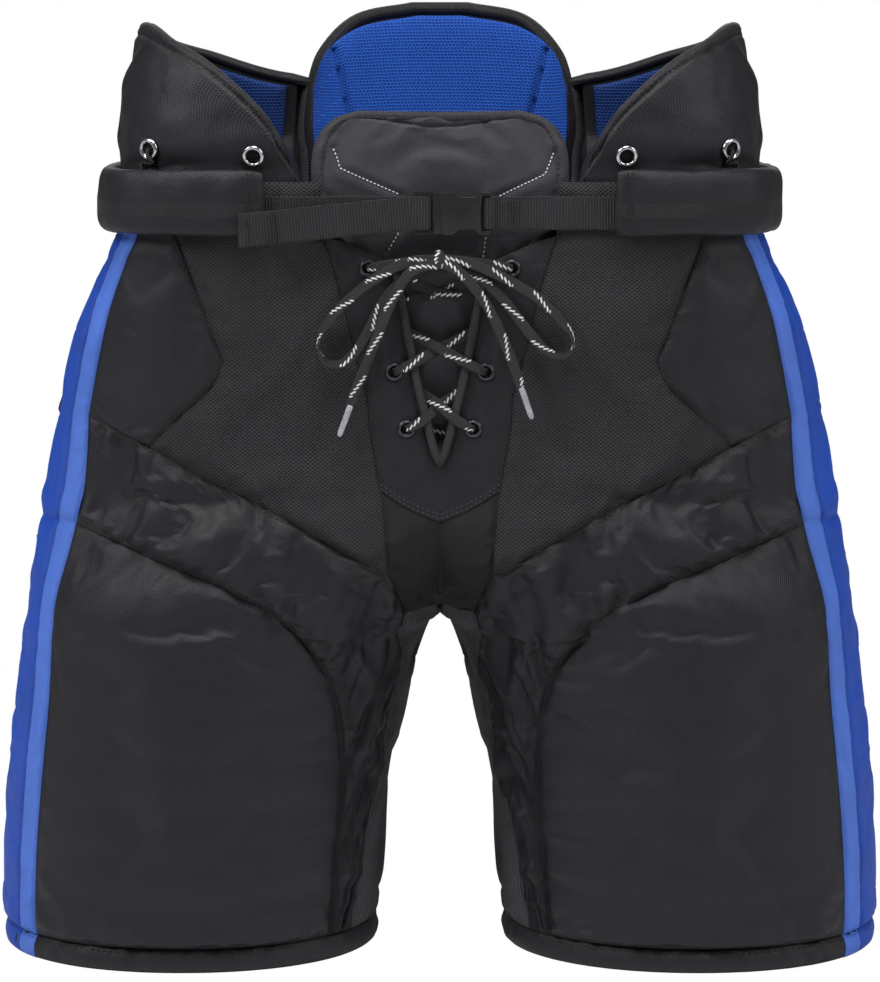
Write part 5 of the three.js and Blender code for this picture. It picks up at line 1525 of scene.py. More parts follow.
belly_tape = tube("belly_binding", belly_path, belly_way, 0.0088, 0.0068, soft_tape, sides=16)
sewn_on(belly_tape, "pants", "binding")
thread_white = Finish("white thread", (226, 226, 228), 0.6)
thread_white.bump(thread_white.noise(3000, 1), 0.00004)


def on_face(points, grid, normal):
    """Places (x, z) carried onto the nearest points of a finished front face."""
    flat, out = grid.reshape(-1, 3), normal.reshape(-1, 3)
    path, ways = [], []
    for x, z in points:
        far = np.hypot(flat[:, 0] - x, flat[:, 2] - z)
        near = np.argsort(far)[:6]
        w = 1 / (far[near] + 1e-5)
        path.append([x, float((flat[near, 1] * w).sum() / w.sum()), z])
        ways.append((out[near] * w[:, None]).sum(0) / w.sum())
    return np.array(path), np.array(ways)


for name, line in white_stitches.items():
    path, out = on_face(stitch_line(line), belly_outer, belly_normal)
    threads(f"white_stitch_{name}", path, out, thread_white, pitch=0.0026, length=0.0019, width=0.0008, lift=0.0003)
for side, name in (("left", "left"), ("right", "right"), ("top", "top")):
    path, out = beside((belly, belly_outer, belly_normal, belly_rim), side, 0.0088)
    keep = path[:, 2] > 0.54
    if side == "top":
        keep &= np.abs(path[:, 0]) < 0.057
    threads(f"belly_edge_thread_{name}", path[keep], out[keep], thread_black, pitch=0.0036, length=0.0024)

# ------------------------------------------------------------------ Belt halves
# Padded twill belts round the hips, sewn to the shell and meeting at the back.
# Each ends in an open sleeve that the webbing comes out of, closed off by two stitch rows.
belt_thickness = 0.012
curve_gap = 0.0009
sleeve_end_x = 0.116
sleeve_turn = float(turn_of(sleeve_end_x, waist + 0.08))
belt_turns = -90 + (sleeve_turn + 90) * np.linspace(0, 1, 220)
belt_foot = spot(belt_turns, 2.05)
belt_along = np.gradient(belt_foot, axis=0)
belt_out = np.cross(belt_along, [0, 0, 1])
belt_out /= np.linalg.norm(belt_out, axis=1, keepdims=True)
if (belt_out * belt_foot).sum() < 0:
    belt_out = -belt_out
belt_far = np.concatenate([[0], np.cumsum(np.linalg.norm(np.diff(belt_foot, axis=0), axis=1))])
belt_far = belt_far[-1] - belt_far
around = np.arange(48) * 2 * math.pi / 48
lobe_c = np.sign(np.cos(around)) * np.abs(np.cos(around)) ** 0.75
lobe_s = np.sign(np.sin(around)) * np.abs(np.sin(around)) ** 0.42


def belt_section(k, tall, thick, back, seed=None):
    """One section of the belt: its height and thickness, back the distance it is set in from the end."""
    foot, out, along = belt_foot[k], belt_out[k], belt_along[k] / np.linalg.norm(belt_along[k])
    h = belt_height / 2 * tall * lobe_s
    o = curve_gap + belt_thickness * 0.5 + belt_thickness * 0.5 * thick * lobe_c
    if seed is not None:
        s = belt_far[k]
        edge = np.clip(np.abs(lobe_s), 0, 1) ** 3
        front = np.clip(lobe_c, 0, 1)
        fade = min(1, s / 0.02)
        o = o + front * fade * (0.0011 * creased(np.full(48, s / 0.034), h / 0.019 + 4,
                                                 seed) + 0.0006 * creased(np.full(48, s / 0.011), h / 0.014 + 9,
                                                            seed + 1)
                                + 0.0009 * edge * uneven(np.full(48, s / 0.0075), seed + 2) + 0.0012 * (1 - edge))
        h = h + 0.0006 * edge * np.sign(h) * uneven(np.full(48, s / 0.012), seed + 3)
        rows = sum(np.exp(-(((s - d) / 0.0011) ** 2)) for d in (0.0065, 0.0095))
        o = o - front * (1 - edge) * 0.001 * rows
    return foot[None] * [1, 1, 0] + out[None] * o[:, None] + [0, 0, 1] * (belt_bottom + belt_height / 2 + h)[:,
                                                            None] - along[None] * back


for side, sign, seed in (("right", 1, 171), ("left", -1, 181)):
    rings = []
    last = len(belt_turns) - 1
    for k in range(last + 1):
        s = belt_far[k]
        tall = 0.93 + 0.07 * min(1, s / 0.008) ** 0.5
        thick = 0.5 + 0.5 * min(1, s / 0.022) ** 0.7
        rings.append(belt_section(k, tall, thick, 0, seed))
    rings.append(belt_section(last, 0.9, 0.42, -0.0006))
    rings.append(belt_section(last, 0.82, 0.3, -0.0004))
    for back, tall in ((0.002, 0.78), (0.006, 0.74), (0.012, 0.7)):
        rings.append(belt_section(last, tall, 0.26, back))
    rings.insert(0, belt_section(0, 0.9, 0.8, -0.0004))
    rings[0][:, 0] = np.maximum(rings[0][:, 0], 0.0003)
    rings = np.array(rings) * [sign, 1, 1]
    rings[..., 0] = np.where(np.abs(rings[..., 0]) < 0.0003, sign * 0.0003, rings[..., 0])
    m, n = rings.shape[:2]
    at = np.arange(m * n).reshape(m, n)
    faces = np.stack([at[:-1], np.roll(at, -1, 1)[:-1], np.roll(at, -1, 1)[1:], at[1:]], -1).reshape(-1, 4).tolist()
    points = rings.reshape(-1, 3).tolist() + [rings[0].mean(0).tolist(), rings[-1].mean(0).tolist()]
    faces += [[int(at[0][i]), int(at[0][(i + 1) % n]), m * n] for i in range(n)]
    faces += [[int(at[-1][(i + 1) % n]), int(at[-1][i]), m * n + 1] for i in range(n)]
    step = np.linalg.norm(np.diff(rings, axis=0), axis=-1).mean(1)
    u = np.concatenate([[0], np.cumsum(step)])
    v = np.concatenate([[0], np.cumsum(np.linalg.norm(np.diff(rings[m // 2], axis=0), axis=1))])
    uv = np.concatenate([np.stack(np.meshgrid(u, v, indexing="ij"), -1).reshape(-1, 2), np.zeros((2, 2))])
    belt = recalculated(twill(piece_of(f"belt_cloth_{side}", points, faces, uv, np.full(len(points), 0.01))))
    sewn_on(belt, "pants", "twill", f"belt_{side}")
    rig.padded(belt, 0.7)
    for d in (0.0065, 0.0095):
        k = int(np.argmin(np.abs(belt_far - d)))
        ring_points = rings[k + 1]
        front = [i % 48 for i in range(-9, 10)]
        path = ring_points[front]
        out = np.tile(belt_out[k] * [sign, 1, 1], (len(path), 1))
        threads(f"sleeve_thread_{int(d * 10000)}_{side}", path, out, thread_black, pitch=0.003, length=0.0021)

# ------------------------------------------------------------------ Webbing straps
# Ribbed 22 mm webbing. The right strap is fixed to the socket; the left one threads the ladder lock,
# and its free tail comes back in front, folded and stitched at its end.
webbing_width = 0.022
webbing_thickness = 0.0018
strap_y = -0.1112
strap_z = 0.518
strap_start = sleeve_end_x + 0.008
webbing = Finish("black ribbed webbing", (26, 26, 29), 0.55, Specular_IOR_Level=0.35)
web_u, web_v = webbing.uv()
web_rib = (web_u * (2 * math.pi / 0.0019)).wave()
web_pick = (web_v * (2 * math.pi / 0.0011)).wave()
selvedge = web_v.size() > 0.0101
web_tone = web_rib * 0.28 + web_pick * web_rib * 0.1 + webbing.noise(50, 3) * 0.5 + 0.2 - selvedge * 0.15
webbing.set("Base Color", webbing.between(webbing.node("Clamp", i0=web_tone), srgb(20, 20, 22), srgb(62, 61, 66)))
webbing.set("Roughness", 0.66 - web_rib * 0.06)
webbing.bump((web_rib + web_pick * 0.25) * (1 - selvedge), 0.0005)


def smooth_path(points, step=0.0012):
    """A rounded path through points, at even steps."""
    p = np.array(points, float)
    far = np.concatenate([[0], np.cumsum(np.linalg.norm(np.diff(p, axis=0), axis=1) ** 0.5)])
    out = []
    for i in range(len(p) - 1):
        p0 = p[i - 1] if i else 2 * p[0] - p[1]
        p3 = p[i + 2] if i + 2 < len(p) else 2 * p[-1] - p[-2]
        t0 = far[i - 1] if i else far[0] - (far[1] - far[0])
        t3 = far[i + 2] if i + 2 < len(p) else far[-1] + (far[-1] - far[-2])
        t1, t2 = far[i], far[i + 1]
        count = max(4, int(np.linalg.norm(p[i + 1] - p[i]) / 0.0004))
        for t in np.linspace(t1, t2, count, endpoint=False):
            a1 = (t1 - t) / (t1 - t0) * p0 + (t - t0) / (t1 - t0) * p[i]
            a2 = (t2 - t) / (t2 - t1) * p[i] + (t - t1) / (t2 - t1) * p[i + 1]
            a3 = (t3 - t) / (t3 - t2) * p[i + 1] + (t - t2) / (t3 - t2) * p3
            b1 = (t2 - t) / (t2 - t0) * a1 + (t - t0) / (t2 - t0) * a2
            b2 = (t3 - t) / (t3 - t1) * a2 + (t - t1) / (t3 - t1) * a3
            out.append((t2 - t) / (t2 - t1) * b1 + (t - t1) / (t2 - t1) * b2)
    out.append(p[-1])
    out = np.array(out)
    far = np.concatenate([[0], np.cumsum(np.linalg.norm(np.diff(out, axis=0), axis=1))])
    s = np.linspace(0, far[-1], max(8, int(far[-1] / step)))
    return np.stack([np.interp(s, far, out[:, k]) for k in range(3)], 1)


def strap(name, path_xy, droop, body, node, length):
    path = smooth_path([(x, y, strap_z) for x, y in path_xy], 0.0009)
    tail = path[:, 1] < strap_y - 0.003
    path[:, 2] -= np.where(tail, np.maximum(0, -0.02 - path[:, 0]) * droop, 0)
    lean = np.zeros((len(path), 3)) + [0, 0, 1]
    lean[:, 1] = 0.02 * uneven(path[:, 0] / 0.03, 3)
    piece = tube(name, path, lean, webbing_width, webbing_thickness, webbing, sides=28, square=0.22)
    sewn_on(piece, body, "webbing", node)
    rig.sheet(piece, flat=(webbing_width, round(length if length else float(np.linalg.norm(np.diff(path, axis=0),
                                                            axis=1).sum()), 4)), held="laid")
    return path


y0 = strap_y
left_path = [(-strap_start, y0), (-0.1, y0), (-0.06, y0), (-0.027, y0), (-0.022, y0 + 0.0012), (-0.018, y0 + 0.0032),
             (-0.009, y0 + 0.0034),
             (-0.0066, y0 + 0.0026), (-0.0057, y0 + 0.0008), (-0.0057, y0 - 0.0008), (-0.0066, y0 - 0.0026),
             (-0.009, y0 - 0.0034),
             (-0.018, y0 - 0.0034), (-0.032, y0 - 0.004), (-0.06, y0 - 0.0062), (-0.098, y0 - 0.0096),
             (-0.114, y0 - 0.0104),
             (-0.13, y0 - 0.0106)]
right_path = [(strap_start, y0), (0.09, y0), (0.06, y0), (0.042, y0), (0.037, y0 - 0.0014), (0.0346, y0 - 0.003),
              (0.030, y0 - 0.0032),
              (0.0287, y0 - 0.0016), (0.0287, y0 + 0.0016), (0.030, y0 + 0.0032), (0.037, y0 + 0.0032)]
left_line = strap("strap_webbing_left", left_path, 0.1, "buckle_ladder", "strap_left", None)
strap("strap_webbing_right", right_path, 0.0, "pants", "strap_right", None)
tail = left_line[-1]
fold_path = smooth_path([(tail[0] + 0.021, tail[1] - 0.0011, tail[2] + 0.0021),
                         (tail[0] + 0.01, tail[1] - 0.0018, tail[2] + 0.001),
                         (tail[0] + 0.001, tail[1] - 0.0017, tail[2] + 0.0001),
                         (tail[0] - 0.0008, tail[1] - 0.0009, tail[2]),
                         (tail[0] - 0.0012, tail[1] + 0.0002, tail[2])], 0.0009)
fold = tube("tail_fold", fold_path, np.zeros((len(fold_path), 3)) + [0, 0, 1], webbing_width, webbing_thickness,
            webbing, sides=28, square=0.22)
sewn_on(fold, "buckle_ladder", "webbing")
for k, dx in enumerate((0.004, 0.0175)):
    x = tail[0] + dx
    line = np.array([(x + 0.0002 * (i % 2), tail[1] - 0.0031, tail[2] + dx * 0.1 + z) for i,
                     z in enumerate(np.linspace(-0.0095, 0.0095, 30))])
    threads(f"tail_thread_{k}", line, np.tile([0, -1, 0], (30, 1)), thread_black, pitch=0.0026, length=0.0018,
            lift=0.0001, body="buckle_ladder")
for k, x in enumerate((0.0455, 0.0485, 0.0515)):
    line = np.array([(x, y0 - webbing_thickness / 2 - 0.0002, strap_z + z) for z in np.linspace(-0.009, 0.009, 30)])
    threads(f"socket_strap_thread_{k}", line, np.tile([0, -1, 0], (30, 1)), thread_black, pitch=0.0026, length=0.0018,
            lift=0.0001)

# ------------------------------------------------------------------ Side-release buckle
# Black moulded plastic: a socket on the right strap, a ladder lock on the left, and two spring prongs.
buckle_plastic = Finish("black buckle plastic", (25, 25, 27), 0.32, Coat_Weight=0.1)
buckle_plastic.set("Roughness", 0.34 + buckle_plastic.noise(60, 3) * 0.16)
buckle_plastic.bump(buckle_plastic.noise(1800, 2), 0.00006)


def moulded(name, node, body, width):
    """A merged copy of a CAD piece with its edges rounded off."""
    piece = bpy.data.objects.new(name, bpy.data.objects[node].data.copy())
    scene.collection.objects.link(piece)
    bpy.ops.object.select_all(action="DESELECT")
    bpy.context.view_layer.objects.active = piece
    piece.select_set(True)
    bpy.ops.object.mode_set(mode="EDIT")
    bpy.ops.mesh.select_all(action="SELECT")
    bpy.ops.mesh.remove_doubles(threshold=1e-6)
    bpy.ops.mesh.dissolve_limited(angle_limit=math.radians(2))
    bpy.ops.mesh.normals_make_consistent(inside=False)
    bpy.ops.object.mode_set(mode="OBJECT")
    bevel = piece.modifiers.new("rounded", "BEVEL")
    bevel.width = width
    bevel.segments = 3
    bevel.limit_method = "ANGLE"
    bevel.angle_limit = math.radians(25)
    bevel.harden_normals = False
    bpy.ops.object.modifier_apply(modifier="rounded")
    bpy.ops.object.shade_smooth_by_angle(angle=math.radians(35))
    buckle_plastic(piece)
    piece.select_set(False)
    return sewn_on(piece, body, "buckle_plastic", node)


moulded("buckle_socket_moulding", "buckle_socket", "pants", 0.0007)
moulded("buckle_ladder_moulding", "buckle_ladder", "buckle_ladder", 0.0006)
moulded("buckle_prong_upper_moulding", "buckle_prong_upper", "prong_upper", 0.0005)
moulded("buckle_prong_lower_moulding", "buckle_prong_lower", "prong_lower", 0.0005)

# ------------------------------------------------------------------ Eyelets
# Dark metal eyelets, three to each fly flap, rolled over the cloth.
dark_metal = Finish("dark eyelet metal", (92, 92, 97), 0.26, Metallic=1.0)
dark_metal.set("Roughness", 0.2 + dark_metal.noise(700, 3) * 0.22)
hole_black = Finish("shade in the holes", (8, 8, 9), 0.9)
hole_black.bump(hole_black.noise(900, 1), 0.0001)


def turned(name, place, axis, profile, finish, segments=48, body="pants"):
    """A ring turned from a closed profile of (radius, height) about an axis through a place."""
    axis = np.array(axis, float) / np.linalg.norm(axis)
    side = np.cross(axis, [0, 0, 1.0])
    side /= np.linalg.norm(side)
    up = np.cross(side, axis)
    a = np.arange(segments) * 2 * math.pi / segments
    rows = np.array([np.array(place) + axis * h + np.outer(np.cos(a), side) * r + np.outer(np.sin(a), up) * r for r,
                     h in profile])
    m = len(profile)
    at = np.arange(m * segments).reshape(m, segments)
    below = np.roll(at, -1, 0)
    faces = np.stack([at, np.roll(at, -1, 1), np.roll(below, -1, 1), below], -1).reshape(-1, 4)
    piece = recalculated(finish(piece_of(name, rows.reshape(-1, 3), faces)))
    return sewn_on(piece, body)


def rolled_rim(hole, radius, rise, deep):
    """The profile of a rolled metal rim round a hole."""
    mid, half = (hole + radius) / 2, (radius - hole) / 2
    dome = [(mid - half * math.cos(k * math.pi / 10), rise * math.sin(k * math.pi / 10) ** 0.8) for k in range(11)]
    return [(hole, -deep)] + dome + [(radius - 0.0003, -0.0004), (hole + 0.0006, -0.0004), (hole + 0.0006, -deep)]


eyelet_sites = {}
for name, (x, z) in eyelet_places.items():
    for (made, sign, side) in ((fly[0], 1, "right"), (fly[1], -1, "left")):
        _, grid, normal, _ = made
        flat, out = grid.reshape(-1, 3), normal.reshape(-1, 3)
        r = np.hypot(flat[:, 0] - sign * x, flat[:, 2] - z)
        round_it = (r > 0.0055) & (r < 0.009)
        place = np.array([sign * x, flat[round_it, 1].mean(), z])
        way = out[round_it].mean(0)
        eyelet_sites[name, side] = (place, way)
        ring_made = turned(f"eyelet_{name}_rim_{side}", place - way * 0.0004, way,
                           rolled_rim(0.0034, 0.0058, 0.0016, 0.0036), dark_metal)
        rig.slot(ring_made, "nickel")
        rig.replaces(ring_made, f"eyelet_{name}_{side}")
        turned(f"eyelet_{name}_hole_{side}", place - way * 0.0012, way,
               [(0.0001, 0), (0.0036, 0), (0.0036, -0.0004), (0.0001, -0.0004)], hole_black, 24)

# ------------------------------------------------------------------ Wing grommets
# Bright nickel grommets, two to each kidney pad, for the tie cords.
nickel = Finish("bright nickel", (206, 206, 210), 0.16, Metallic=1.0)
nickel.set("Roughness", 0.12 + nickel.noise(500, 3) * 0.16)
grommet_sites = {}
for side, sign in (("right", 1), ("left", -1)):
    outer, normal, _ = wing_faces[side]
    flat, out = outer.reshape(-1, 3), normal.reshape(-1, 3)
    for name, (t, z) in grommet_places.items():
        aim = wing_surface(np.array(float(t)), fraction(z)) * [sign, 1, 1]
        far = np.linalg.norm((flat - aim) * [1, 1, 2], axis=1)
        near = np.argsort(far)[:24]
        place, way = flat[near].mean(0), out[near].mean(0)
        place[2] = z
        way /= np.linalg.norm(way)
        grommet_sites[name, side] = (place, way)
        rim_made = turned(f"grommet_{name}_rim_{side}", place + way * 0.0006, way,
                          rolled_rim(0.0043, 0.0076, 0.0024, 0.004), nickel, 56)
        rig.slot(rim_made, "nickel")
        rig.replaces(rim_made, f"grommet_{name}_{side}")
        turned(f"grommet_{name}_hole_{side}", place + way * 0.0007, way,
               [(0.0001, 0), (0.0046, 0), (0.0046, -0.0006), (0.0001, -0.0006)], hole_black, 24)

# ------------------------------------------------------------------ Wing ties
# A short black cord through each outer grommet, knotted inside and led down behind the belt.
tie_cord = Finish("black tie cord", (28, 28, 31), 0.6)
tie_u, tie_v = tie_cord.uv()
tie_twist = ((tie_u + tie_v * 0.8) * (2 * math.pi / 0.0014)).wave()
tie_cord.set("Base Color", tie_cord.between(tie_twist * 0.4 + 0.5, srgb(14, 14, 16), srgb(48, 48, 52)))
tie_cord.bump(tie_twist, 0.0003)
for side, sign in (("right", 1), ("left", -1)):
    place, way = grommet_sites["outer", side]
    lean_in = np.array([-0.0018 * sign, 0, 0])
    behind = []
    for z in (0.549, 0.5445, 0.5405):
        p = wing_surface(np.array(40.0), fraction(z)) * [sign, 1, 1]
        behind.append(p + way * -0.0018)
    path = smooth_path([place - way * 0.0105, place - way * 0.006, place - way * 0.001,
                        place + way * 0.0036 + lean_in * 0.3 + [0, 0, -0.0012],
                        place + way * 0.0046 + lean_in + [0, 0, -0.0048],
                        place + way * 0.0026 + lean_in * 2 + [0, 0, -0.0092], *behind], 0.0008)
    tie = tube(f"kidney_tie_cord_{side}", path, np.tile(np.cross(way, [0, 0, 1.0]), (len(path), 1)), 0.0028, 0.0028,
               tie_cord, sides=12, square=1.0)
    sewn_on(tie, "pants", "cord", f"kidney_tie_{side}")
    tie_length = float(np.linalg.norm(np.diff(path, axis=0), axis=1).sum())
    if tie_length >= 0.03:
        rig.cord(tie, exit=path[0], length=round(tie_length, 4), diameter=0.0028, far_end="object", stiffness="limp",
                lay="loose", path=path[::4])

# ------------------------------------------------------------------ Lacing
# Flat 7 mm braided lace, black with short groups of slanting white flecks.
# It crosses three times over the slit, comes out of the top eyelets, and is tied in a bow.
lace_width = 0.007
lace_thickness = 0.0019
lace_braid = Finish("black lace with white flecks", (22, 22, 24), 0.65)
lace_u, lace_v = lace_braid.uv()
braid_turn = 2 * math.pi / 0.0016
braid = ((lace_u + lace_v * 0.9) * braid_turn).wave() * ((lace_u - lace_v * 0.9) * braid_turn).wave()
group = (lace_u / 0.031).part()
shown = group < 0.56
lane = (group / 0.56 - 0.5) * 0.0046
stitch = (lace_u / 0.0034).part()
near_lane = (lace_v - lane - (stitch - 0.42) * 0.0019).size() < 0.0008
fleck = stitch < 0.84
fleck_mask = shown * near_lane * fleck
lace_body = lace_braid.between(braid * 0.4 + 0.5, srgb(14, 14, 16), srgb(50, 50, 54))
lace_braid.set("Base Color", lace_braid.between(fleck_mask, lace_body, srgb(250, 250, 250)))
lace_braid.bump(braid + fleck_mask * 0.8, 0.00035)


def lace(name, points, twist=(), node=None, size_near=(), start_size=1.0, end_size=1.0, far_end="object",
         with_pieces=(), body="pants", declare=True):
    """A flat lace along a path in millimetres, face to the front, with its twist in degrees at shares of its length."""
    path = smooth_path([(x / 1000, y / 1000, z / 1000) for x, y, z in points], 0.0011)
    along = np.gradient(path, axis=0)
    along /= np.linalg.norm(along, axis=1, keepdims=True)
    wide = np.cross(along, [0, -1.0, 0])
    size = np.linalg.norm(wide, axis=1)
    for k in range(1, len(wide)):
        if size[k] < 0.35 or (wide[k] @ wide[k - 1]) < 0:
            carried = wide[k - 1] - along[k] * (wide[k - 1] @ along[k])
            wide[k] = carried if size[k] < 0.35 else (wide[k] if (wide[k] @ wide[k - 1]) > 0 else -wide[k])
        wide[k] /= max(1e-9, np.linalg.norm(wide[k]))
    wide[0] /= max(1e-9, np.linalg.norm(wide[0]))
    for _ in range(4):
        wide[1:-1] = (wide[:-2] + 2 * wide[1:-1] + wide[2:]) / 4
        wide /= np.linalg.norm(wide, axis=1, keepdims=True)
    share = np.linspace(0, 1, len(path))
    if twist:
        turn = np.radians(np.interp(share, *np.array(twist, float).T))
        other = np.cross(along, wide)
        wide = wide * np.cos(turn)[:, None] + other * np.sin(turn)[:, None]
    taper = np.ones(len(path))
    for place in size_near:
        far = np.linalg.norm(path - np.array(place), axis=1)
        taper = np.minimum(taper, 0.78 + 0.22 * np.clip((far - 0.003) / 0.006, 0, 1))
    taper *= np.interp(share, [0, 0.04, 0.96, 1], [start_size, 1, 1, end_size])
    piece = tube(name, path, wide, lace_width, lace_thickness, lace_braid, sides=16, taper=taper, square=0.62)
    sewn_on(piece, body, "cord", *([node] if node else []))
    if declare:
        total = float(np.linalg.norm(np.diff(path, axis=0), axis=1).sum())
        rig.cord(piece, exit=path[0], length=round(total, 4), diameter=lace_width, far_end=far_end, stiffness="limp",
                lay="loose",
                path=path[::3].tolist() + [path[-1].tolist()], with_pieces=with_pieces)
    return piece, path


def hole_points(name, side, out_x):
    """The lace's way out of an eyelet, from behind the flap to in front of it."""
    place, way = eyelet_sites[name, side]
    p = place * 1000
    return [(p[0] - out_x * 1.2, p[1] + 5.5, p[2] - 0.6), (p[0], p[1] + 1.5, p[2]),
            (p[0] + out_x * 0.8, p[1] - 2.2, p[2] + 0.2)]


def climbing(sign):
    """One half of the lacing, from the low eyelet up to the knot."""
    near, far = ("right", "left") if sign > 0 else ("left", "right")
    over = -1.5 if sign > 0 else 1.5
    return [*hole_points("low", near, -sign), (sign * 12, -112.6, 380.5), (0, -109.6 + over, 390.5),
            (-sign * 10, -106.4, 397),
            (-sign * 20, -103.6, 403), *hole_points("middle", far, sign), (-sign * 20, -112.8, 418),
            (0, -109.6 - over, 428.5),
            (sign * 15, -107.6, 436), (sign * 27, -103.8, 443), (sign * 32, -103.4, 452), (sign * 24, -105.6, 458),
            (0, -110.2 + over, 466), (-sign * 24, -106.4, 474), (-sign * 37, -103.8, 479),
            *hole_points("top", far, sign),
            (-sign * 34, -113.2, 484), (-sign * 18, -114.2, 486), (-sign * 4, -115, 486.5)]


left_way, right_way = climbing(-1), climbing(1)
low_left = eyelet_sites["low", "left"][0] * 1000
route = left_way[::-1] + [(-12, low_left[1] + 7, 373.6), (0, low_left[1] + 7.4, 373),
                          (12, low_left[1] + 7, 373.6)] + right_way
lace("lace_through_eyelets", route, node="lace_run", size_near=[site[0] for site in eyelet_sites.values()],
     far_end="knot")
# The knot, in millimetres: its middle in y and z, and how far its wraps reach when they lean.
knot_y, knot_z, wrap_reach = -116.4, 486.4, 6.6
for k, (x, tilt, tall, deep) in enumerate(((-1.6, 10, 6.6, 4.6), (1.9, -24, 6.0, 4.2))):
    a = np.linspace(0, 2 * math.pi, 61)[:-1]
    lean_angle = math.radians(tilt)
    loop = np.stack([x + np.sin(a) * wrap_reach * math.sin(lean_angle), knot_y - deep * np.cos(a),
                     knot_z + tall * np.sin(a)], 1) / 1000
    loop = np.concatenate([loop, loop[:2]])
    wide_way = np.tile([math.cos(lean_angle), 0, -math.sin(lean_angle)], (len(loop), 1))
    wrap = tube(f"lace_knot_wrap_{k}", loop, wide_way, lace_width * 0.86, lace_thickness, lace_braid, sides=16,
                square=0.62)
    sewn_on(wrap, "pants", "cord")
core = [(-6.5, -116.6, 486.8), (-3, -117.4, 486.2), (3, -117.4, 486.6), (6.5, -116.6, 486.4)]
core_path = smooth_path(np.array(core) / 1000, 0.0009)
knot_core = tube("lace_knot_core", core_path, np.tile([0, 0, 1.0], (len(core_path), 1)), 0.0095, 0.0056, lace_braid,
                 sides=16, square=0.9)
sewn_on(knot_core, "pants", "cord")
loop_left = [(-3.5, -119.4, 487.2), (-14, -120.0, 487.5), (-28, -119.4, 483.5), (-42, -118.2, 475.5),
             (-58, -116.6, 463), (-72, -115.6, 449), (-79.5, -115.2, 437),
             (-80, -115.2, 427), (-75, -115.4, 420), (-67, -116, 418.5), (-58, -116.6, 424), (-49, -117, 437),
             (-41, -117.2, 453), (-31, -117.8, 468),
             (-19, -118.6, 478), (-8, -118.8, 483.5), (-2.5, -118.2, 484.6)]
loop_right = [(3.5, -119.4, 487.2), (14, -120.2, 487), (30, -120, 481.5), (48, -118.8, 472.5), (66, -117, 461),
              (80, -115.8, 447), (87.5, -115.2, 436.5),
              (87, -115.2, 428.5), (80.5, -115.4, 424), (71, -115.8, 427), (60, -116.6, 438), (50, -117, 451),
              (40, -117.2, 463.5), (28, -117.8, 474),
              (15, -118.4, 480.5), (7, -118.6, 483.6), (2.5, -118.2, 484.8)]
lace("lace_bow_left", loop_left, twist=((0, 0), (0.3, 12), (0.42, 50), (0.52, 118), (0.62, 165), (1, 180)),
     node="lace_loop_left")
lace("lace_bow_right", loop_right, twist=((0, 0), (0.3, -10), (0.42, -46), (0.52, -112), (0.64, -168), (1, -180)),
     node="lace_loop_right")
clear_tip = Finish("clear grey lace tip", (176, 178, 184), 0.22, Coat_Weight=0.6)
clear_tip.set("Base Color", clear_tip.between(clear_tip.noise(300, 3), srgb(120, 122, 128), srgb(206, 208, 212)))
tails = {
    "left": [(-2.5, -120.8, 485), (-10, -122.4, 484), (-19.5, -122.8, 479.5), (-28.5, -122.2, 467), (-37, -121, 448),
             (-46, -119.6, 425), (-54.5, -117.8, 404),
             (-60.2, -116.2, 388.6)],
    "right": [(2.5, -120.8, 485), (9, -122.4, 482.5), (18, -122.6, 475), (31, -122, 457.5), (41.5, -120.6, 436),
              (49, -119.2, 416.5), (54.6, -117.6, 400.5)],
}
tip_length = 0.019
for side, points in tails.items():
    a, b = (np.array(p) / 1000 for p in points[-2:])
    way = (b - a) / np.linalg.norm(b - a)
    s = np.linspace(0, 1, 14)
    tip_path = b - way * 0.003 + way * np.outer(s, [1, 1, 1]) * (tip_length + 0.003)
    tip = tube(f"lace_tip_{side}", tip_path, np.tile(np.cross(way, [0, -1.0, 0]), (14, 1)), 0.0042, 0.0032, clear_tip,
               sides=14, square=0.9,
               taper=np.interp(s, [0, 0.06, 0.9, 1], [0.92, 1, 0.92, 0.6]))
    sewn_on(tip, "pants", "aglet", f"aglet_{side}")
    lace(f"lace_end_{side}", points, twist=((0, 0), (0.35, 20 if side == "left" else -24), (0.7, -14), (1, 0)),
         node=f"lace_tail_{side}", end_size=0.45,
         far_end="fitting", with_pieces=[tip])

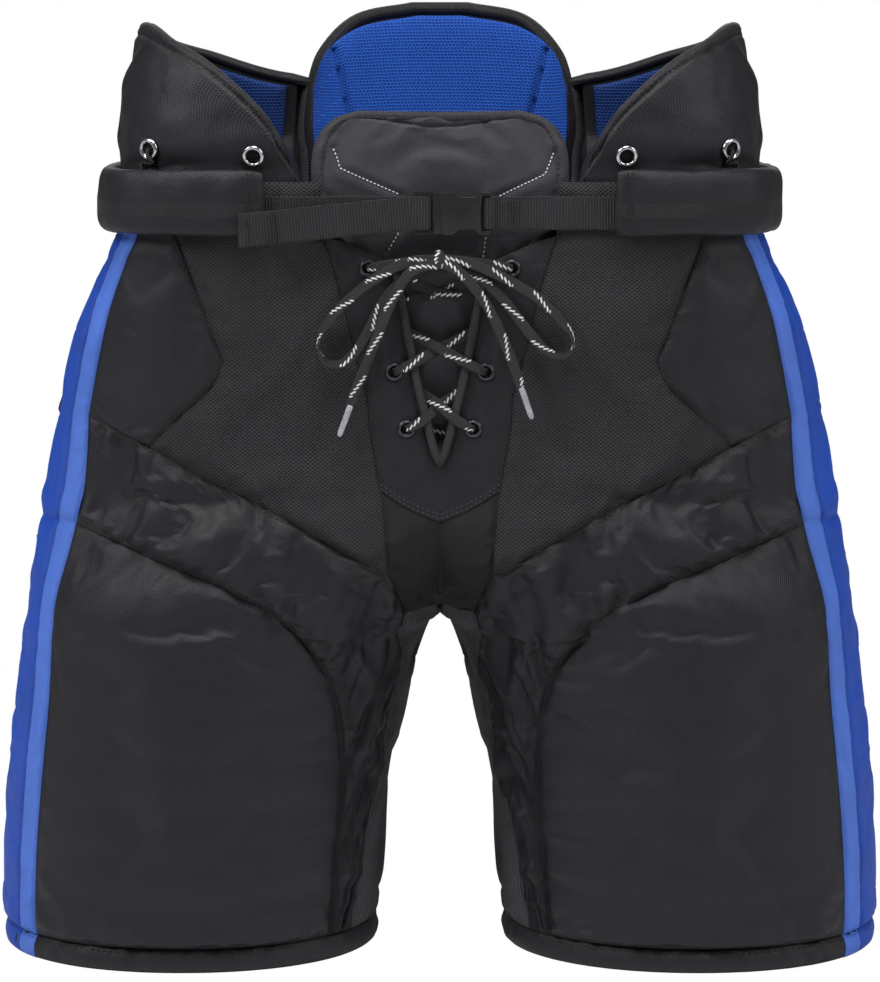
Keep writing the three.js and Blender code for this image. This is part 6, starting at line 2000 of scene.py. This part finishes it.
# ------------------------------------------------------------------ Floor, light and camera
# A pale floor and large soft lights stand round the pants. They are no part of them.
# The floor lights the pants from below and stays out of the camera's sight, against a white backdrop.
bpy.ops.object.select_all(action="DESELECT")
bpy.ops.mesh.primitive_plane_add(size=60, location=(0, 26, 0))
floor = bpy.context.object
floor.name = "floor"
pale = Finish("pale floor", (238, 238, 240), 0.9)
pale.set("Base Color", pale.between(pale.noise(3, 2), srgb(234, 234, 236), srgb(242, 242, 244)))
pale(floor)
floor.visible_camera = False
stage_pieces = [floor]


def softbox(name, place, aim, size, power):
    light = bpy.data.lights.new(name, "AREA")
    light.shape = "RECTANGLE"
    light.size, light.size_y = size
    light.energy = power
    lamp = bpy.data.objects.new(name, light)
    scene.collection.objects.link(lamp)
    lamp.location = place
    lamp.rotation_euler = (Vector(aim) - Vector(place)).to_track_quat("-Z", "Y").to_euler()
    stage_pieces.append(lamp)


softbox("key", (-1.6, -0.9, 1.9), (0, 0, 0.3), (0.4, 1.0), 27)
softbox("fill", (1.7, -0.9, 1.5), (0, 0, 0.3), (0.4, 1.1), 15)
softbox("top", (0, -0.6, 2.1), (0, 0, 0.3), (0.9, 0.5), 21)
softbox("back", (0, 2.4, 1.6), (0, 0, 0.35), (2.4, 1.6), 14)
world = bpy.data.worlds.new("studio")
world.use_nodes = True
backdrop = world.node_tree.nodes["Background"]
backdrop.inputs["Color"].default_value = (1, 1, 1, 1)
# The backdrop is white to the camera and gives the pants only a faint light.
faint_light = 0.13
seen = world.node_tree.nodes.new("ShaderNodeMapRange")
seen.inputs["To Min"].default_value = faint_light
world.node_tree.links.new(world.node_tree.nodes.new("ShaderNodeLightPath").outputs["Is Camera Ray"],
                          seen.inputs["Value"])
world.node_tree.links.new(seen.outputs["Result"], backdrop.inputs["Strength"])
scene.world = world
scene.view_settings.view_transform = "Standard"

camera = bpy.data.cameras.new("camera")
camera.lens = 116.3
camera.sensor_fit = "AUTO"
camera.sensor_width = 36
viewer = bpy.data.objects.new("camera", camera)
scene.collection.objects.link(viewer)
viewer.location = (0, -2.2, 0.628)
looked_at = Vector((0, 0, 0.318))
viewer.rotation_euler = (looked_at - viewer.location).to_track_quat("-Z", "Y").to_euler()
scene.camera = viewer
scene.frame_set(1)
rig.stage(*stage_pieces)
with open("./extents.json", "w") as out_file:
    json.dump([[[float(c) for c in corner] for corner in box] for box in (cad_box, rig.bounds())], out_file)
